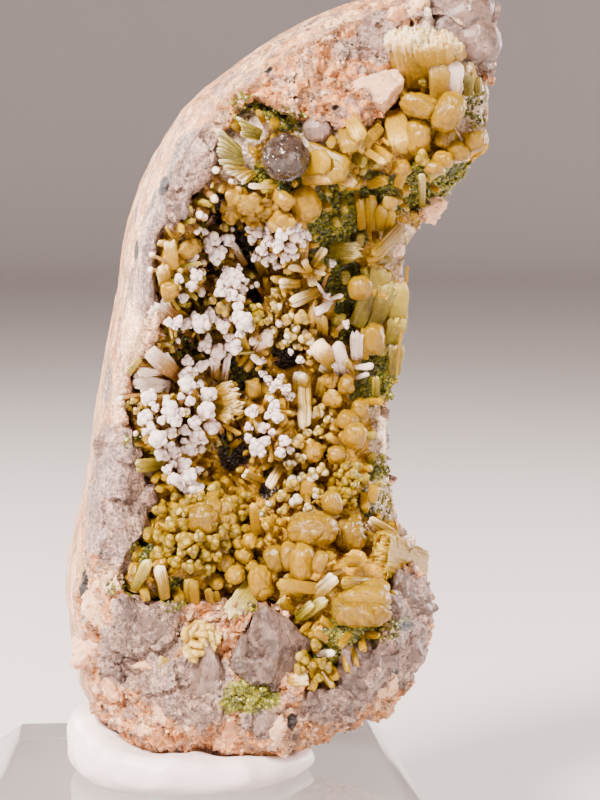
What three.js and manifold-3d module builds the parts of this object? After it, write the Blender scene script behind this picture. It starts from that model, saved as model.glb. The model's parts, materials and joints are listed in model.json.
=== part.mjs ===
// A zeolite specimen: a water-worn granite cobble, broken open on a crystal-lined pocket, that stands in a
// lump of putty on a clear bevelled block. Millimetres, +Z up, and the broken face looks along -Y.
import * as THREE from "three";
import { mergeVertices, toCreasedNormals } from "three/addons/utils/BufferGeometryUtils.js";
import Module from "manifold-3d";

const wasm = await Module();
wasm.setup();

// Driving dimensions of the holder.
const BLOCK = { side: 52, height: 15, bevel: 3.4, drop: 3, turn: 5 };
const STONE = { x: 0.5, y: -2.4 }; // how far the stone stands from the middle of its block
const PUTTY = { x: -2.2, y: -1.5, halfWide: 15, halfDeep: 13.5 };
const GAP = 0.3; // between pieces that touch
const FUSE = 0.1; // faces smaller than this run together
const MID_Y = 2; // depth at which the cobble's worn left side turns from front to back

// The cobble from its foot to its top. At each height z: its left and right edges, how far the front and back
// stand out, where the broken right edge starts and ends in depth, brow, the share of the width at which the
// front starts to fall back to that edge, and worn, the share of the width that is still water-worn skin.
const stationOf = ([z, left, right, front, back, rimFront, rimBack, brow, worn]) => ({
  z, left, right, front, back, rimFront, rimBack, brow, worn,
});
const STATIONS = [
  [16.8, 0.5, 4.5, 3.5, 4, -2, 3, 0.8, 0],
  [18.0, -5, 10, 7.5, 7.5, -3, 5, 0.8, 0],
  [20.0, -9.6, 16.5, 10, 10.5, -3.5, 6, 0.8, 0],
  [23.0, -14, 22.2, 12, 13, -4, 7, 0.8, 0.03],
  [27.0, -16.1, 25, 13, 15, -4.5, 8, 0.82, 0.05],
  [31.5, -16.7, 27.1, 13.4, 16, -5, 8, 0.84, 0.06],
  [36.0, -17, 27.3, 13.2, 17, -5, 8, 0.8, 0.08],
  [40.4, -17, 25.8, 12.8, 17.5, -3, 8, 0.7, 0.12],
  [44.0, -16.1, 23.3, 12.3, 18, -1, 8, 0.62, 0.14],
  [50.0, -14.6, 22.4, 11.8, 18, 0, 8, 0.56, 0.14],
  [58.0, -13.5, 22.4, 11.4, 18, 0.5, 8.5, 0.54, 0.12],
  [65.0, -12.3, 23.9, 11.2, 18, 0.5, 8.5, 0.54, 0.14],
  [72.0, -10.8, 24, 11.2, 17.6, 0, 8, 0.56, 0.18],
  [79.0, -9.8, 24.8, 11.6, 16.8, -1, 7.5, 0.62, 0.2],
  [84.0, -8.5, 28.2, 12, 15.6, -3, 7, 0.72, 0.2],
  [88.0, -6.8, 31.8, 12.2, 14.4, -4.5, 6.5, 0.78, 0.16],
  [92.0, -4.6, 33.4, 12, 13, -4.5, 6, 0.8, 0.1],
  [96.0, -1.5, 34, 11.2, 11.6, -4, 6, 0.8, 0.08],
  [100.0, 3.6, 34.6, 10, 10, -3.4, 5.5, 0.82, 0.12],
  [103.5, 8.8, 34.7, 8.6, 8.4, -2.6, 5, 0.84, 0.16],
  [106.5, 15.4, 32.6, 6.4, 6.6, -1.6, 4.2, 0.86, 0.2],
  [108.4, 21.4, 30, 3.6, 4.8, -0.6, 3.4, 0.86, 0.25],
  [109.2, 25, 27.8, 0.6, 3, 0.6, 2.6, 0.86, 0.3],
].map(stationOf);

// Hollows of the broken face: centre, half sizes, lean from upright in degrees, and depth.
const HOLLOWS = [
  { name: "main pocket", x: 6.5, z: 62, halfWide: 13.6, halfTall: 23, lean: 8, deep: 11.5 },
  { name: "pocket under the overhang", x: 3.5, z: 79, halfWide: 8, halfTall: 5, lean: 30, deep: 4 },
  { name: "pocket of the top lobe", x: 26, z: 92.5, halfWide: 6.4, halfTall: 6, lean: -30, deep: 5 },
  { name: "hollow under the top lobe", x: 17.5, z: 82, halfWide: 6, halfTall: 5, lean: 40, deep: 4.5 },
  { name: "hollow beside the foot crystals", x: 22, z: 41.5, halfWide: 4, halfTall: 3, lean: 0, deep: 2 },
  { name: "small pocket of the foot", x: -0.1, z: 33, halfWide: 5, halfTall: 3.6, lean: 0, deep: 2.4 },
];

// Dark holes between the crystals, which stay within the crust: centre, radius and depth.
const HOLES = [
  { name: "upper left", x: 1.2, z: 82, radius: 2.4, deep: 2.6 },
  { name: "middle", x: 9.5, z: 65.5, radius: 2.8, deep: 2.4 },
  { name: "left", x: 4, z: 63.5, radius: 2.6, deep: 2.4 },
  { name: "under the left bunch", x: 4.8, z: 54, radius: 2.6, deep: 2.2 },
  { name: "beside the honey bunch", x: 8.5, z: 49.5, radius: 2.4, deep: 2 },
  { name: "under the inner prisms", x: 16.5, z: 86.5, radius: 2.4, deep: 2 },
];

// Outline of the crystal-lined break, from the top of the stone clockwise, as x and z. It passes the right
// edge where the crystals reach that edge.
const BREAK_OUTLINE = [
  [22.8, 104.5], [27.4, 105.3], [30.2, 103.5], [32, 100.4], [33.4, 97.5], [38, 96.5], [38, 87], [32, 85.6],
  [28.2, 84], [25.4, 82.6], [28, 79.5], [28, 49], [24.4, 45], [25.2, 41.6], [22.4, 38.8], [21.4, 34.6],
  [18.6, 31], [14.6, 27.6], [11.6, 27.4], [12.4, 31.6], [9.6, 36.6], [5.4, 37.8], [-0.4, 37.4], [-6, 37.6],
  [-9.6, 39], [-9, 42.4], [-6.2, 45.4], [-6, 50.4], [-7.9, 55], [-9.2, 60], [-8.3, 64.4], [-5.2, 68.5],
  [-5.2, 72.6], [-5.6, 76.6], [-4.8, 80.4], [-2, 83.2], [0.8, 86.4], [2, 90.4], [3.7, 94.6], [6.4, 95.8],
  [11.4, 93.7], [16, 92.8], [21.2, 93.4], [22.8, 96.6], [22.2, 101],
];
const LINING = 4; // how far the socket of the crystals lies behind the break
const MOUND = { rise: 1.4, skirt: 1 }; // how the crust swells under a bunch of crystals
const FLOOR_PITCH = 5; // grid of the socket's floor
const SOCKET_REACH = { left: -14, right: 41, low: 20, high: 110, front: -40, back: 30 };

// Repeatable random numbers from 0 to 1.
function dice(seed) {
  let state = seed >>> 0;
  return () => {
    state = (Math.imul(state, 1664525) + 1013904223) >>> 0;
    return state / 4294967296;
  };
}

const clamp01 = (t) => Math.min(1, Math.max(0, t));
const smooth = (t) => clamp01(t) ** 2 * (3 - 2 * clamp01(t));
const mix = (a, b, t) => a + (b - a) * t;

// The cobble's measures at a height, on a smooth curve through the stations.
function stationAt(z) {
  const last = STATIONS.length - 1;
  let i = STATIONS.findIndex((s, k) => k < last && z <= STATIONS[k + 1].z);
  if (i < 0) i = last - 1;
  const [s0, s1, s2, s3] = [i - 1, i, i + 1, i + 2].map((k) => STATIONS[Math.min(last, Math.max(0, k))]);
  const step = s2.z - s1.z;
  const t = clamp01((z - s1.z) / step);
  const at = {};
  for (const key of Object.keys(s1)) {
    const before = ((s2[key] - s0[key]) / Math.max(s2.z - s0.z, step)) * step;
    const after = ((s3[key] - s1[key]) / Math.max(s3.z - s1.z, step)) * step;
    const [a, b] = [s1[key], s2[key]];
    const [square, cube] = [3 * (b - a) - 2 * before - after, 2 * (a - b) + before + after];
    at[key] = a + t * (before + t * (square + t * cube));
  }
  return at;
}

// Broken granite parts along grain faces: each grain stands out, tilts and meets its neighbours in a crease.
const GRAIN = { pitch: 6, step: 2, tilt: 0.5, round: 0.06 };
function grainRelief(x, z, seed) {
  let highest = -Infinity;
  const [column, row] = [Math.floor(x / GRAIN.pitch), Math.floor(z / GRAIN.pitch)];
  for (let i = column - 1; i <= column + 1; i++)
    for (let k = row - 1; k <= row + 1; k++) {
      const roll = dice(seed + i * 7919 + k * 104729);
      roll();
      const [dx, dz] = [x - (i + roll()) * GRAIN.pitch, z - (k + roll()) * GRAIN.pitch];
      const [step, tiltX, tiltZ] = [roll() - 0.5, roll() - 0.5, roll() - 0.5];
      const tilted = 2 * GRAIN.tilt * (tiltX * dx + tiltZ * dz);
      highest = Math.max(highest, GRAIN.step * step + tilted - GRAIN.round * (dx * dx + dz * dz));
    }
  return -highest;
}

// How deep the hollows reach behind the broken face at a place.
function hollowDepth(x, z) {
  return HOLLOWS.reduce((sum, h) => {
    const lean = THREE.MathUtils.degToRad(h.lean);
    const [dx, dz] = [x - h.x, z - h.z];
    const across = (dx * Math.cos(lean) - dz * Math.sin(lean)) / h.halfWide;
    const along = (dx * Math.sin(lean) + dz * Math.cos(lean)) / h.halfTall;
    return sum + h.deep * Math.exp(-((across ** 2 + along ** 2) ** 2));
  }, 0);
}

const SKIN_ROUND = 2.3; // how square the worn skin turns
const roundRise = (t) => (1 - (1 - clamp01(t)) ** SKIN_ROUND) ** (1 / SKIN_ROUND);

// The share of a place across the cobble, from its left edge to its right edge.
const acrossAt = (s, x) => clamp01((x - s.left) / (s.right - s.left));
const brokenShare = (s, u) => smooth((u - s.worn) / 0.06) * smooth((1 - u) / 0.02);

// The front without its grains and crystals: the worn skin, the break and the hollows.
function plainY(x, z) {
  const s = stationAt(z);
  const u = acrossAt(s, x);
  const skin = MID_Y + (-s.front - MID_Y) * roundRise(u / 0.3);
  const face = mix(skin, s.rimFront, smooth((u - s.brow) / (1 - s.brow)));
  return face + brokenShare(s, u) * hollowDepth(x, z);
}

function frontY(x, z) {
  const s = stationAt(z);
  const hole = HOLES.reduce((sum, h) => {
    const away = ((x - h.x) ** 2 + (z - h.z) ** 2) / h.radius ** 2;
    return sum + h.deep * Math.exp(-away);
  }, 0);
  const mound = BUNCHES.reduce((sum, b) => {
    const [dx, dz] = [(x - b.x) / (b.halfWide + MOUND.skirt), (z - b.z) / (b.halfTall + MOUND.skirt)];
    return sum + MOUND.rise * Math.exp(-((dx * dx + dz * dz) ** 2));
  }, 0);
  return plainY(x, z) + brokenShare(s, acrossAt(s, x)) * (hole - mound + grainRelief(x, z, 5));
}

function backY(x, z) {
  const s = stationAt(z);
  const u = acrossAt(s, x);
  const chord = mix(MID_Y, s.rimBack, u);
  const dome = (1 - Math.abs(2 * u - 1) ** 2.4) ** (1 / 2.4);
  return chord + (s.back - mix(MID_Y, s.rimBack, 0.5)) * dome;
}

const FRONT_COLUMNS = 22;
const SIDE_COLUMNS = 5;
const BACK_COLUMNS = 7;
const ROWS = 34;
const SIDE_NOTCH = 3; // how deep the broken right side is notched

// One level loop round the cobble: across the front, through the broken right side, and back behind.
function loopAt(z) {
  const s = stationAt(z);
  const wide = s.right - s.left;
  const points = [];
  for (let i = 0; i < FRONT_COLUMNS; i++) {
    const x = s.left + wide * (i / FRONT_COLUMNS) ** 1.15;
    points.push([x, frontY(x, z), z]);
  }
  for (let i = 0; i <= SIDE_COLUMNS; i++) {
    const t = i / SIDE_COLUMNS;
    const y = mix(s.rimFront, s.rimBack, t);
    const notch = SIDE_NOTCH * clamp01(0.5 + 0.45 * grainRelief(y, z, 91)) * Math.min(1, wide / 20);
    points.push([s.right - notch * Math.sin(Math.PI * t) ** 0.5, y, z]);
  }
  for (let i = BACK_COLUMNS - 1; i > 0; i--) {
    const x = s.left + wide * (0.5 - 0.5 * Math.cos((Math.PI * i) / BACK_COLUMNS));
    points.push([x, backY(x, z), z]);
  }
  return points;
}

// A closed body from level loops of equal length, capped at both ends. Each face is split along its shorter
// diagonal.
function lofted(loops) {
  const count = loops[0].length;
  const positions = loops.flat(2);
  const corners = loops.flat();
  const apart = (p, q) => Math.hypot(...corners[p].map((v, k) => v - corners[q][k]));
  const index = [];
  for (let r = 0; r < loops.length - 1; r++)
    for (let i = 0; i < count; i++) {
      const [a, b] = [r * count + i, r * count + ((i + 1) % count)];
      const [c, d] = [b + count, a + count];
      index.push(...(apart(a, c) < apart(b, d) ? [a, b, c, a, c, d] : [a, b, d, b, c, d]));
    }
  for (const [r, flip] of [[0, true], [loops.length - 1, false]]) {
    const middle = loops[r].reduce((sum, p) => sum.map((v, k) => v + p[k] / count), [0, 0, 0]);
    const hub = positions.length / 3;
    positions.push(...middle);
    for (let i = 0; i < count; i++) {
      const [a, b] = [r * count + i, r * count + ((i + 1) % count)];
      index.push(...(flip ? [b, a, hub] : [a, b, hub]));
    }
  }
  const geometry = new THREE.BufferGeometry();
  geometry.setAttribute("position", new THREE.Float32BufferAttribute(positions, 3));
  geometry.setIndex(index);
  return geometry;
}

function solidOf(geometry) {
  const bare = geometry.clone();
  bare.deleteAttribute("normal");
  bare.deleteAttribute("uv");
  const merged = mergeVertices(bare, 1e-4);
  const vertProperties = new Float32Array(merged.attributes.position.array);
  const triVerts = new Uint32Array(merged.index.array);
  return new wasm.Manifold(new wasm.Mesh({ numProp: 3, vertProperties, triVerts }));
}

const CREASE = THREE.MathUtils.degToRad(24); // faces that meet at more than this keep a sharp edge
function geometryOf(solid) {
  const mesh = solid.getMesh();
  const geometry = new THREE.BufferGeometry();
  geometry.setAttribute("position", new THREE.Float32BufferAttribute(mesh.vertProperties, 3));
  geometry.setIndex(new THREE.BufferAttribute(new Uint32Array(mesh.triVerts), 1));
  return toCreasedNormals(geometry, CREASE);
}

function cobble() {
  const [low, high] = [STATIONS[0].z, STATIONS.at(-1).z];
  const loops = [];
  for (let r = 0; r <= ROWS; r++) {
    const t = r / ROWS;
    const eased = mix(t, 0.5 - 0.5 * Math.cos(Math.PI * t), 0.75);
    loops.push(loopAt(mix(low, high, eased)));
  }
  return solidOf(lofted(loops));
}

function named(name, solid, look) {
  const mesh = new THREE.Mesh(geometryOf(solid), new THREE.MeshStandardMaterial({ metalness: 0, ...look }));
  mesh.name = name;
  return mesh;
}

// The socket that parts the crust from the granite: the outline drawn in by a clearance, cut as deep as the
// lining.
function socketSolid(clearance) {
  const drawnIn = BREAK_OUTLINE.map(([x, z], i) => {
    const before = BREAK_OUTLINE.at(i - 1);
    const after = BREAK_OUTLINE[(i + 1) % BREAK_OUTLINE.length];
    const along = new THREE.Vector2(after[0] - before[0], after[1] - before[1]).normalize();
    return new THREE.Vector2(x + along.y * clearance, z - along.x * clearance);
  });
  const depth = SOCKET_REACH.back - SOCKET_REACH.front;
  const prism = new THREE.ExtrudeGeometry(new THREE.Shape(drawnIn), { depth, bevelEnabled: false, steps: 1 });
  prism.rotateX(Math.PI / 2).translate(0, SOCKET_REACH.back, 0);
  return solidOf(prism).intersect(beforeFloor(clearance));
}

// Everything in front of the socket's floor, which follows the plain break on a wide grid.
function beforeFloor(clearance) {
  const { left, right, low, high, front } = SOCKET_REACH;
  const loops = [];
  for (let z = low; z <= high; z += FLOOR_PITCH) {
    const floor = [];
    for (let x = right; x >= left; x -= FLOOR_PITCH) floor.push([x, plainY(x, z) + LINING - clearance, z]);
    loops.push([[floor.at(-1)[0], front, z], [right, front, z], ...floor]);
  }
  return solidOf(lofted(loops));
}

// Bunches of crystals on the crust: name, centre as x and z, half sizes, form, how many crystals, their
// radius and length, and where they aim. A ball is the coated head of a crystal, a lump a swollen sheaf,
// and a blade a flat prism with a point.
const bunchOf = ([name, [x, z], [halfWide, halfTall], form, count, size, length, aim]) => ({
  name, x, z, halfWide, halfTall, form, count, size, length, aim,
});
const BUNCHES = [
  ["fan of the top", [25.7, 102.2], [2.4, 1.8], "blade", 4, 1.3, 4, [-0.1, -0.6, 0.8]],
  ["pale pair", [28.6, 98.1], [1.2, 1.2], "blade", 2, 1.4, 4.4, [0.2, -0.8, 0.7]],
  ["honey pair", [26.7, 94.7], [2.8, 0.8], "lump", 2, 2.1, 0, [0, -1, 0.2]],
  ["outer balls", [31.4, 92.8], [1.2, 2.6], "lump", 3, 1.5, 0, [0.3, -1, 0]],
  ["lower aggregates", [30.3, 89.4], [2.2, 1.4], "lump", 2, 1.9, 0, [0, -1, -0.3]],
  ["inner prisms", [19.4, 90.8], [1.8, 1.4], "blade", 2, 1.3, 3.8, [0.8, -0.8, -0.5]],
  ["pale prisms", [23, 91.6], [1.2, 1.6], "blade", 2, 1.4, 4, [0.6, -0.8, -0.6]],
  ["block prisms", [26.2, 88.1], [1.8, 1.2], "lump", 2, 1.7, 0, [0, -1, -0.2]],
  ["overhang blades", [14.9, 87.9], [2.4, 1.6], "blade", 3, 1.3, 3.8, [0.9, -0.7, -0.3]],
  ["overhang lumps", [8.1, 83.9], [4.6, 1], "lump", 4, 1.8, 0, [0, -1, -0.3]],
  ["cream mass", [8.8, 79], [3, 2.6], "ball", 5, 1.6, 0, [0, -1, -0.2]],
  ["upper left bunch", [1.9, 78], [2, 1.6], "ball", 2, 1.5, 0, [0, -1, 0]],
  ["left ledge", [-2.8, 76], [1.4, 2.8], "ball", 3, 1.4, 0, [0.3, -1, 0]],
  ["coated bunch", [3, 73.6], [2.2, 2], "ball", 3, 1.7, 0, [0, -1, 0]],
  ["coated string", [-1.7, 69.5], [2.8, 0.8], "ball", 3, 1.4, 0, [0, -1, 0]],
  ["middle lumps", [5.2, 68.6], [2, 2.8], "ball", 3, 1.7, 0, [0, -1, 0]],
  ["cream blades", [12, 73.8], [2.8, 4.4], "blade", 4, 1.4, 3.8, [-0.2, -1, 0.1]],
  ["wall blades", [20.6, 70.6], [2, 5], "blade", 4, 1.8, 4.6, [-0.3, -0.8, 0.7]],
  ["fat cream blades", [15.6, 65.7], [3.4, 2.8], "blade", 4, 1.6, 4.2, [-0.3, -1, 0.6]],
  ["left blades", [-6.4, 63.7], [1.2, 2.4], "blade", 2, 1.3, 3.2, [-0.6, -1, 0.5]],
  ["white bunch", [-2, 57.9], [4.8, 4.2], "ball", 7, 1.8, 0, [0, -1, 0]],
  ["lower white bunch", [-2.6, 50.8], [2, 1.6], "ball", 2, 1.5, 0, [0, -1, 0]],
  ["small white bunch", [7.6, 58.6], [3, 2.6], "ball", 4, 1.6, 0, [0, -1, 0]],
  ["beige bunch", [10.4, 53.1], [4.2, 2.8], "ball", 4, 1.7, 0, [0, -1, 0]],
  ["honey pillar", [17.1, 54.6], [1.4, 4.8], "lump", 3, 1.9, 0, [0, -1, 0]],
  ["right aggregate", [19.2, 47.9], [1.6, 2.6], "lump", 2, 1.9, 0, [0.2, -1, 0]],
  ["honey bunch", [0.1, 44.4], [4.8, 4.2], "ball", 7, 1.8, 0, [0, -1, 0]],
  ["honey prisms", [-2, 39.2], [4.6, 0.8], "blade", 3, 1.3, 2.8, [0, -1, 0.6]],
  ["large honey lumps", [12.6, 44.3], [5, 3], "lump", 5, 2.4, 0, [0, -1, 0.2]],
  ["foot prisms", [14.9, 39.4], [4.8, 2], "blade", 4, 1.7, 4.2, [0.2, -0.6, 0.8]],
  ["shelf lumps", [19.4, 41.2], [2.2, 1.4], "lump", 3, 1.8, 0, [0.2, -1, 0.4]],
  ["rim blades", [23.2, 41.6], [1.8, 1.2], "blade", 2, 1.7, 3.8, [0.4, -0.7, 0.4]],
  ["foot lumps", [16.4, 34], [2.2, 2.4], "lump", 2, 1.9, 0, [0, -1, 0.2]],
].map(bunchOf);
const SHEAF = bunchOf(["foot sheaf", [-0.3, 32.8], [1.9, 1.9], "blade", 8, 1.3, 2.8, [0, -1, 0.3]]);
const SHEAF_HEART = 2.2; // radius of the lump that the foot sheaf grows from
const SCATTER = 0.45; // how far a crystal leans from its bunch's aim
const LIFT = 0.6; // how much a crystal turns away from the surface that it stands on
const ROOT = 0.8; // depth of a crystal's root in the crust
const GOLDEN = Math.PI * (3 - Math.sqrt(5)); // turn from one crystal of a bunch to the next
const SLOPE_REACH = 1.2; // distance over which the surface's slope is taken

function outward(x, z) {
  const slopeX = (frontY(x + SLOPE_REACH, z) - frontY(x - SLOPE_REACH, z)) / (2 * SLOPE_REACH);
  const slopeZ = (frontY(x, z + SLOPE_REACH) - frontY(x, z - SLOPE_REACH)) / (2 * SLOPE_REACH);
  return new THREE.Vector3(slopeX, -1, slopeZ).normalize();
}

// A flat prism with a blunt point, four-sided, that widens a little outward and stands along +Y.
function blade(size, length) {
  const profile = [[0, -ROOT], [size * 0.7, -ROOT], [size, length * 0.8], [0, length]];
  const points = profile.map(([radius, height]) => new THREE.Vector2(radius, height));
  return new THREE.LatheGeometry(points, 4).scale(1, 1, 0.7);
}

const FORMS = {
  ball: (size) => new THREE.IcosahedronGeometry(size, 0).scale(1, 1.2, 1).translate(0, size * 0.7, 0),
  lump: (size) => new THREE.IcosahedronGeometry(size, 0).scale(1.15, 1.1, 0.9).translate(0, size * 0.5, 0),
  blade,
};

// The crystals of one bunch, each rooted in the crust and leaning about the bunch's aim.
function bunchSolids(bunch, seed) {
  const roll = dice(seed);
  roll();
  return Array.from({ length: bunch.count }, (_, i) => {
    const turn = i * GOLDEN + roll();
    const away = Math.sqrt((i + 0.5) / bunch.count);
    const x = bunch.x + bunch.halfWide * away * Math.cos(turn);
    const z = bunch.z + bunch.halfTall * away * Math.sin(turn);
    const lean = new THREE.Vector3(roll() - 0.5, roll() - 0.5, roll() - 0.5).multiplyScalar(2 * SCATTER);
    const aim = new THREE.Vector3(...bunch.aim).normalize().add(lean).add(outward(x, z).multiplyScalar(LIFT));
    const [size, length] = [bunch.size * mix(0.8, 1.15, roll()), bunch.length * mix(0.75, 1.1, roll())];
    const geometry = FORMS[bunch.form](size, length);
    const stand = new THREE.Quaternion().setFromUnitVectors(new THREE.Vector3(0, 1, 0), aim.normalize());
    geometry.rotateY(Math.PI * roll()).applyQuaternion(stand);
    return solidOf(geometry.translate(x, frontY(x, z) + GAP, z));
  });
}

// The largest body of a solid that a cut has parted from its crumbs.
const largest = (solid) => solid.decompose().reduce((a, b) => (b.volume() > a.volume() ? b : a));

// Quartz crystals that sit in sockets of their own: a knob under the overhang, a ridged crystal in the foot.
const QUARTZ_KNOB = { x: 9.7, z: 89, radius: 2.8, proud: 1 };
const QUARTZ_RIDGE = { x: 8, y: -13.2, z: 32.4, halfWide: 5, halfTall: 5, deep: 5 };

function quartzKnob() {
  const { x, z, radius, proud } = QUARTZ_KNOB;
  const roll = dice(17);
  const ball = new THREE.IcosahedronGeometry(radius, 1);
  ball.deleteAttribute("normal");
  ball.deleteAttribute("uv");
  const geometry = mergeVertices(ball);
  const position = geometry.attributes.position;
  for (let i = 0; i < position.count; i++) {
    const swell = mix(0.9, 1.06, roll());
    position.setXYZ(i, position.getX(i) * swell, position.getY(i) * swell, position.getZ(i) * swell);
  }
  return solidOf(geometry.translate(x, frontY(x, z) - proud, z));
}

// The hull of corners placed by hand, as shares of the crystal's half sizes and depth.
function quartzRidge() {
  const { x, y, z, halfWide, halfTall, deep } = QUARTZ_RIDGE;
  const corners = [
    [-0.95, 0, -0.35], [-0.45, 0.05, 0.55], [-0.1, -0.1, 1], [0.35, 0.1, 0.75], [1, 0.2, 0.1],
    [0.7, 0.15, -0.6], [0.15, 0, -0.95], [-0.55, 0, -0.85], [0.2, -0.34, 0.1], [-0.15, -0.3, -0.55],
    [-0.8, 1, -0.3], [-0.1, 1, 0.8], [0.8, 1, 0.1], [0.1, 1, -0.8],
  ];
  return wasm.Manifold.hull(corners.map(([a, b, c]) => [x + a * halfWide, y + b * deep, z + c * halfTall]));
}

// A solid grown by about a clearance on all sides, by scaling it about its own middle.
function grown(solid, clearance) {
  const { min, max } = solid.boundingBox();
  const middle = min.map((low, k) => (low + max[k]) / 2);
  const factors = min.map((low, k) => 1 + (2 * clearance) / (max[k] - low));
  return solid.translate(middle.map((v) => -v)).scale(factors).translate(middle);
}

// The putty: a pressed lump, high at the left where it cups the stone and thin at the right.
const PUTTY_RIM = { left: 7.6, front: 4.4, right: 3, back: 6 };
const PUTTY_LEVELS = [[0.93, 0], [1, 0.3], [1, 0.7], [0.95, 0.95], [0.84, 1], [0.5, 0.9]];
const PUTTY_SIDES = 18;
function puttyLump() {
  const loops = PUTTY_LEVELS.map(([spread, level]) =>
    Array.from({ length: PUTTY_SIDES }, (_, i) => {
      const turn = (2 * Math.PI * i) / PUTTY_SIDES;
      const [c, s] = [Math.cos(turn), Math.sin(turn)];
      const sideways = mix(PUTTY_RIM.left, PUTTY_RIM.right, smooth(0.5 + 0.5 * c));
      const rim = mix(sideways, s > 0 ? PUTTY_RIM.back : PUTTY_RIM.front, s * s);
      const dent = 1 + 0.03 * Math.sin(3 * turn + 1) + 0.02 * Math.sin(5 * turn);
      const [across, deep] = [spread * dent * PUTTY.halfWide, spread * dent * PUTTY.halfDeep];
      return [PUTTY.x + across * c, PUTTY.y + deep * s, BLOCK.height + level * rim];
    }),
  );
  return solidOf(lofted(loops));
}

function clearBlock() {
  const square = (half, z) => [[-half, -half, z], [half, -half, z], [half, half, z], [-half, half, z]];
  const half = BLOCK.side / 2;
  const shoulder = square(half, BLOCK.height - BLOCK.drop);
  const loops = [square(half, 0), shoulder, square(half - BLOCK.bevel, BLOCK.height)];
  return solidOf(lofted(loops).rotateZ(THREE.MathUtils.degToRad(BLOCK.turn)));
}

// A body with its crystals, cut clear of the rock on every side and of the quartz, without loose crumbs.
function grownClear(carrier, bunches, seed) {
  const aways = [[0, 0, 0], [0, -1, 0], [0.8, -0.6, 0], [-0.8, -0.6, 0], [0, -0.6, 0.8], [0, -0.6, -0.8]];
  const crystals = wasm.Manifold.union(bunches.flatMap((bunch, i) => bunchSolids(bunch, seed + i)));
  const cut = (solid, away) => solid.subtract(rock.translate(away.map((v) => v * GAP)));
  const trimmed = aways.reduce(cut, crystals);
  return largest(carrier.add(trimmed).subtract(grown(knob, GAP)).subtract(grown(ridge, GAP))).simplify(FUSE);
}

const knob = quartzKnob();
const ridge = quartzRidge();
const whole = cobble();
const broken = whole.subtract(socketSolid(0)).subtract(grown(knob, GAP)).subtract(grown(ridge, GAP));
const rock = largest(broken).simplify(FUSE);
const crust = grownClear(largest(whole.intersect(socketSolid(GAP))), BUNCHES, 100);
const heartY = frontY(SHEAF.x, SHEAF.z);
const heart = solidOf(new THREE.IcosahedronGeometry(SHEAF_HEART, 0).translate(SHEAF.x, heartY, SHEAF.z));
const sheaf = grownClear(heart.subtract(rock.translate([0, -GAP, 0])), [SHEAF], 7);
const putty = largest(puttyLump().subtract(grown(rock, GAP))).simplify(FUSE);

const specimen = new THREE.Group();
const stone = new THREE.Group();
stone.position.set(STONE.x, STONE.y, 0);
stone.add(
  named("mineral_putty", putty, { color: 0xe9dfe0, roughness: 0.6 }),
  named("granite_matrix", rock, { color: 0xcbb0a4, roughness: 0.85 }),
  named("quartz_knob", knob, { color: 0x9a8f92, roughness: 0.15 }),
  named("quartz_ridge", ridge, { color: 0xa79aa0, roughness: 0.2 }),
  named("zeolite_crust", crust, { color: 0xdcbf7c, roughness: 0.45 }),
  named("zeolite_sheaf", sheaf, { color: 0xe0c468, roughness: 0.4 }),
);
const clear = { color: 0xe8ecec, roughness: 0.05, transparent: true, opacity: 0.35 };
specimen.add(named("acrylic_block", clearBlock(), clear), stone);

export default specimen;
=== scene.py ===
"""The looks of a zeolite specimen on its display block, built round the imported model.

Lengths are in millimetres and become metres where a mesh is written. +Z is up, and the broken
face of the stone looks along -Y. Places that were read off the photograph are given in its
pixels, 600 wide and 800 tall, and are carried onto the stone along the camera's own rays.
"""

import json
import logging
import math
import random
from collections.abc import Callable, Iterator
from contextlib import contextmanager
from dataclasses import dataclass, field
from enum import Enum
from functools import partial

import bpy
import numpy as np
from mathutils import Matrix, Vector, noise
from mathutils.bvhtree import BVHTree

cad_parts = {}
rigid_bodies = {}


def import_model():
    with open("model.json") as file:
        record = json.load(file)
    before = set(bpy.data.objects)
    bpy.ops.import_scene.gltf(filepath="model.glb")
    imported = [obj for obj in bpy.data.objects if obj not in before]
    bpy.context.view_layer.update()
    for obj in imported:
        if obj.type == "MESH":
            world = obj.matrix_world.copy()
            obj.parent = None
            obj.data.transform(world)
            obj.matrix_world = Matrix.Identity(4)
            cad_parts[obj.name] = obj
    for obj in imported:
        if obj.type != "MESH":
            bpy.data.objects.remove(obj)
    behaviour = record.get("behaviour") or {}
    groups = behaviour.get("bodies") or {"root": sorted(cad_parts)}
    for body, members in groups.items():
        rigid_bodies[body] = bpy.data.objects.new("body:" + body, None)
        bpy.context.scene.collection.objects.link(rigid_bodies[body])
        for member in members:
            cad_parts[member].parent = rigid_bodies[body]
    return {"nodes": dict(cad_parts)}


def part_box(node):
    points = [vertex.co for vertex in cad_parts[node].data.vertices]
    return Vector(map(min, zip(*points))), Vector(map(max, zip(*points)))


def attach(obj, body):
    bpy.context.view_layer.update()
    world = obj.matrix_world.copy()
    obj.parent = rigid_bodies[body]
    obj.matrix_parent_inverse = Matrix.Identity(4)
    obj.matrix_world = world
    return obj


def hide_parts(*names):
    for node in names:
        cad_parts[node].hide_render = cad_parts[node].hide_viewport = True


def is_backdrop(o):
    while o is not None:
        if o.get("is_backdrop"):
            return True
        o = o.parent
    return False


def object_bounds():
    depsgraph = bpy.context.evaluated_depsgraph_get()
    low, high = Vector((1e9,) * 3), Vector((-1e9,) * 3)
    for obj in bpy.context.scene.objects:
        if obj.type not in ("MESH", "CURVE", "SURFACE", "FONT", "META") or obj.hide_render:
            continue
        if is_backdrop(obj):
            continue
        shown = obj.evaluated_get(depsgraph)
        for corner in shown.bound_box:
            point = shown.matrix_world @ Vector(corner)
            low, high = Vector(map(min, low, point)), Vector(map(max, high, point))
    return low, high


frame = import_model()
CAD_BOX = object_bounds()

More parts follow.
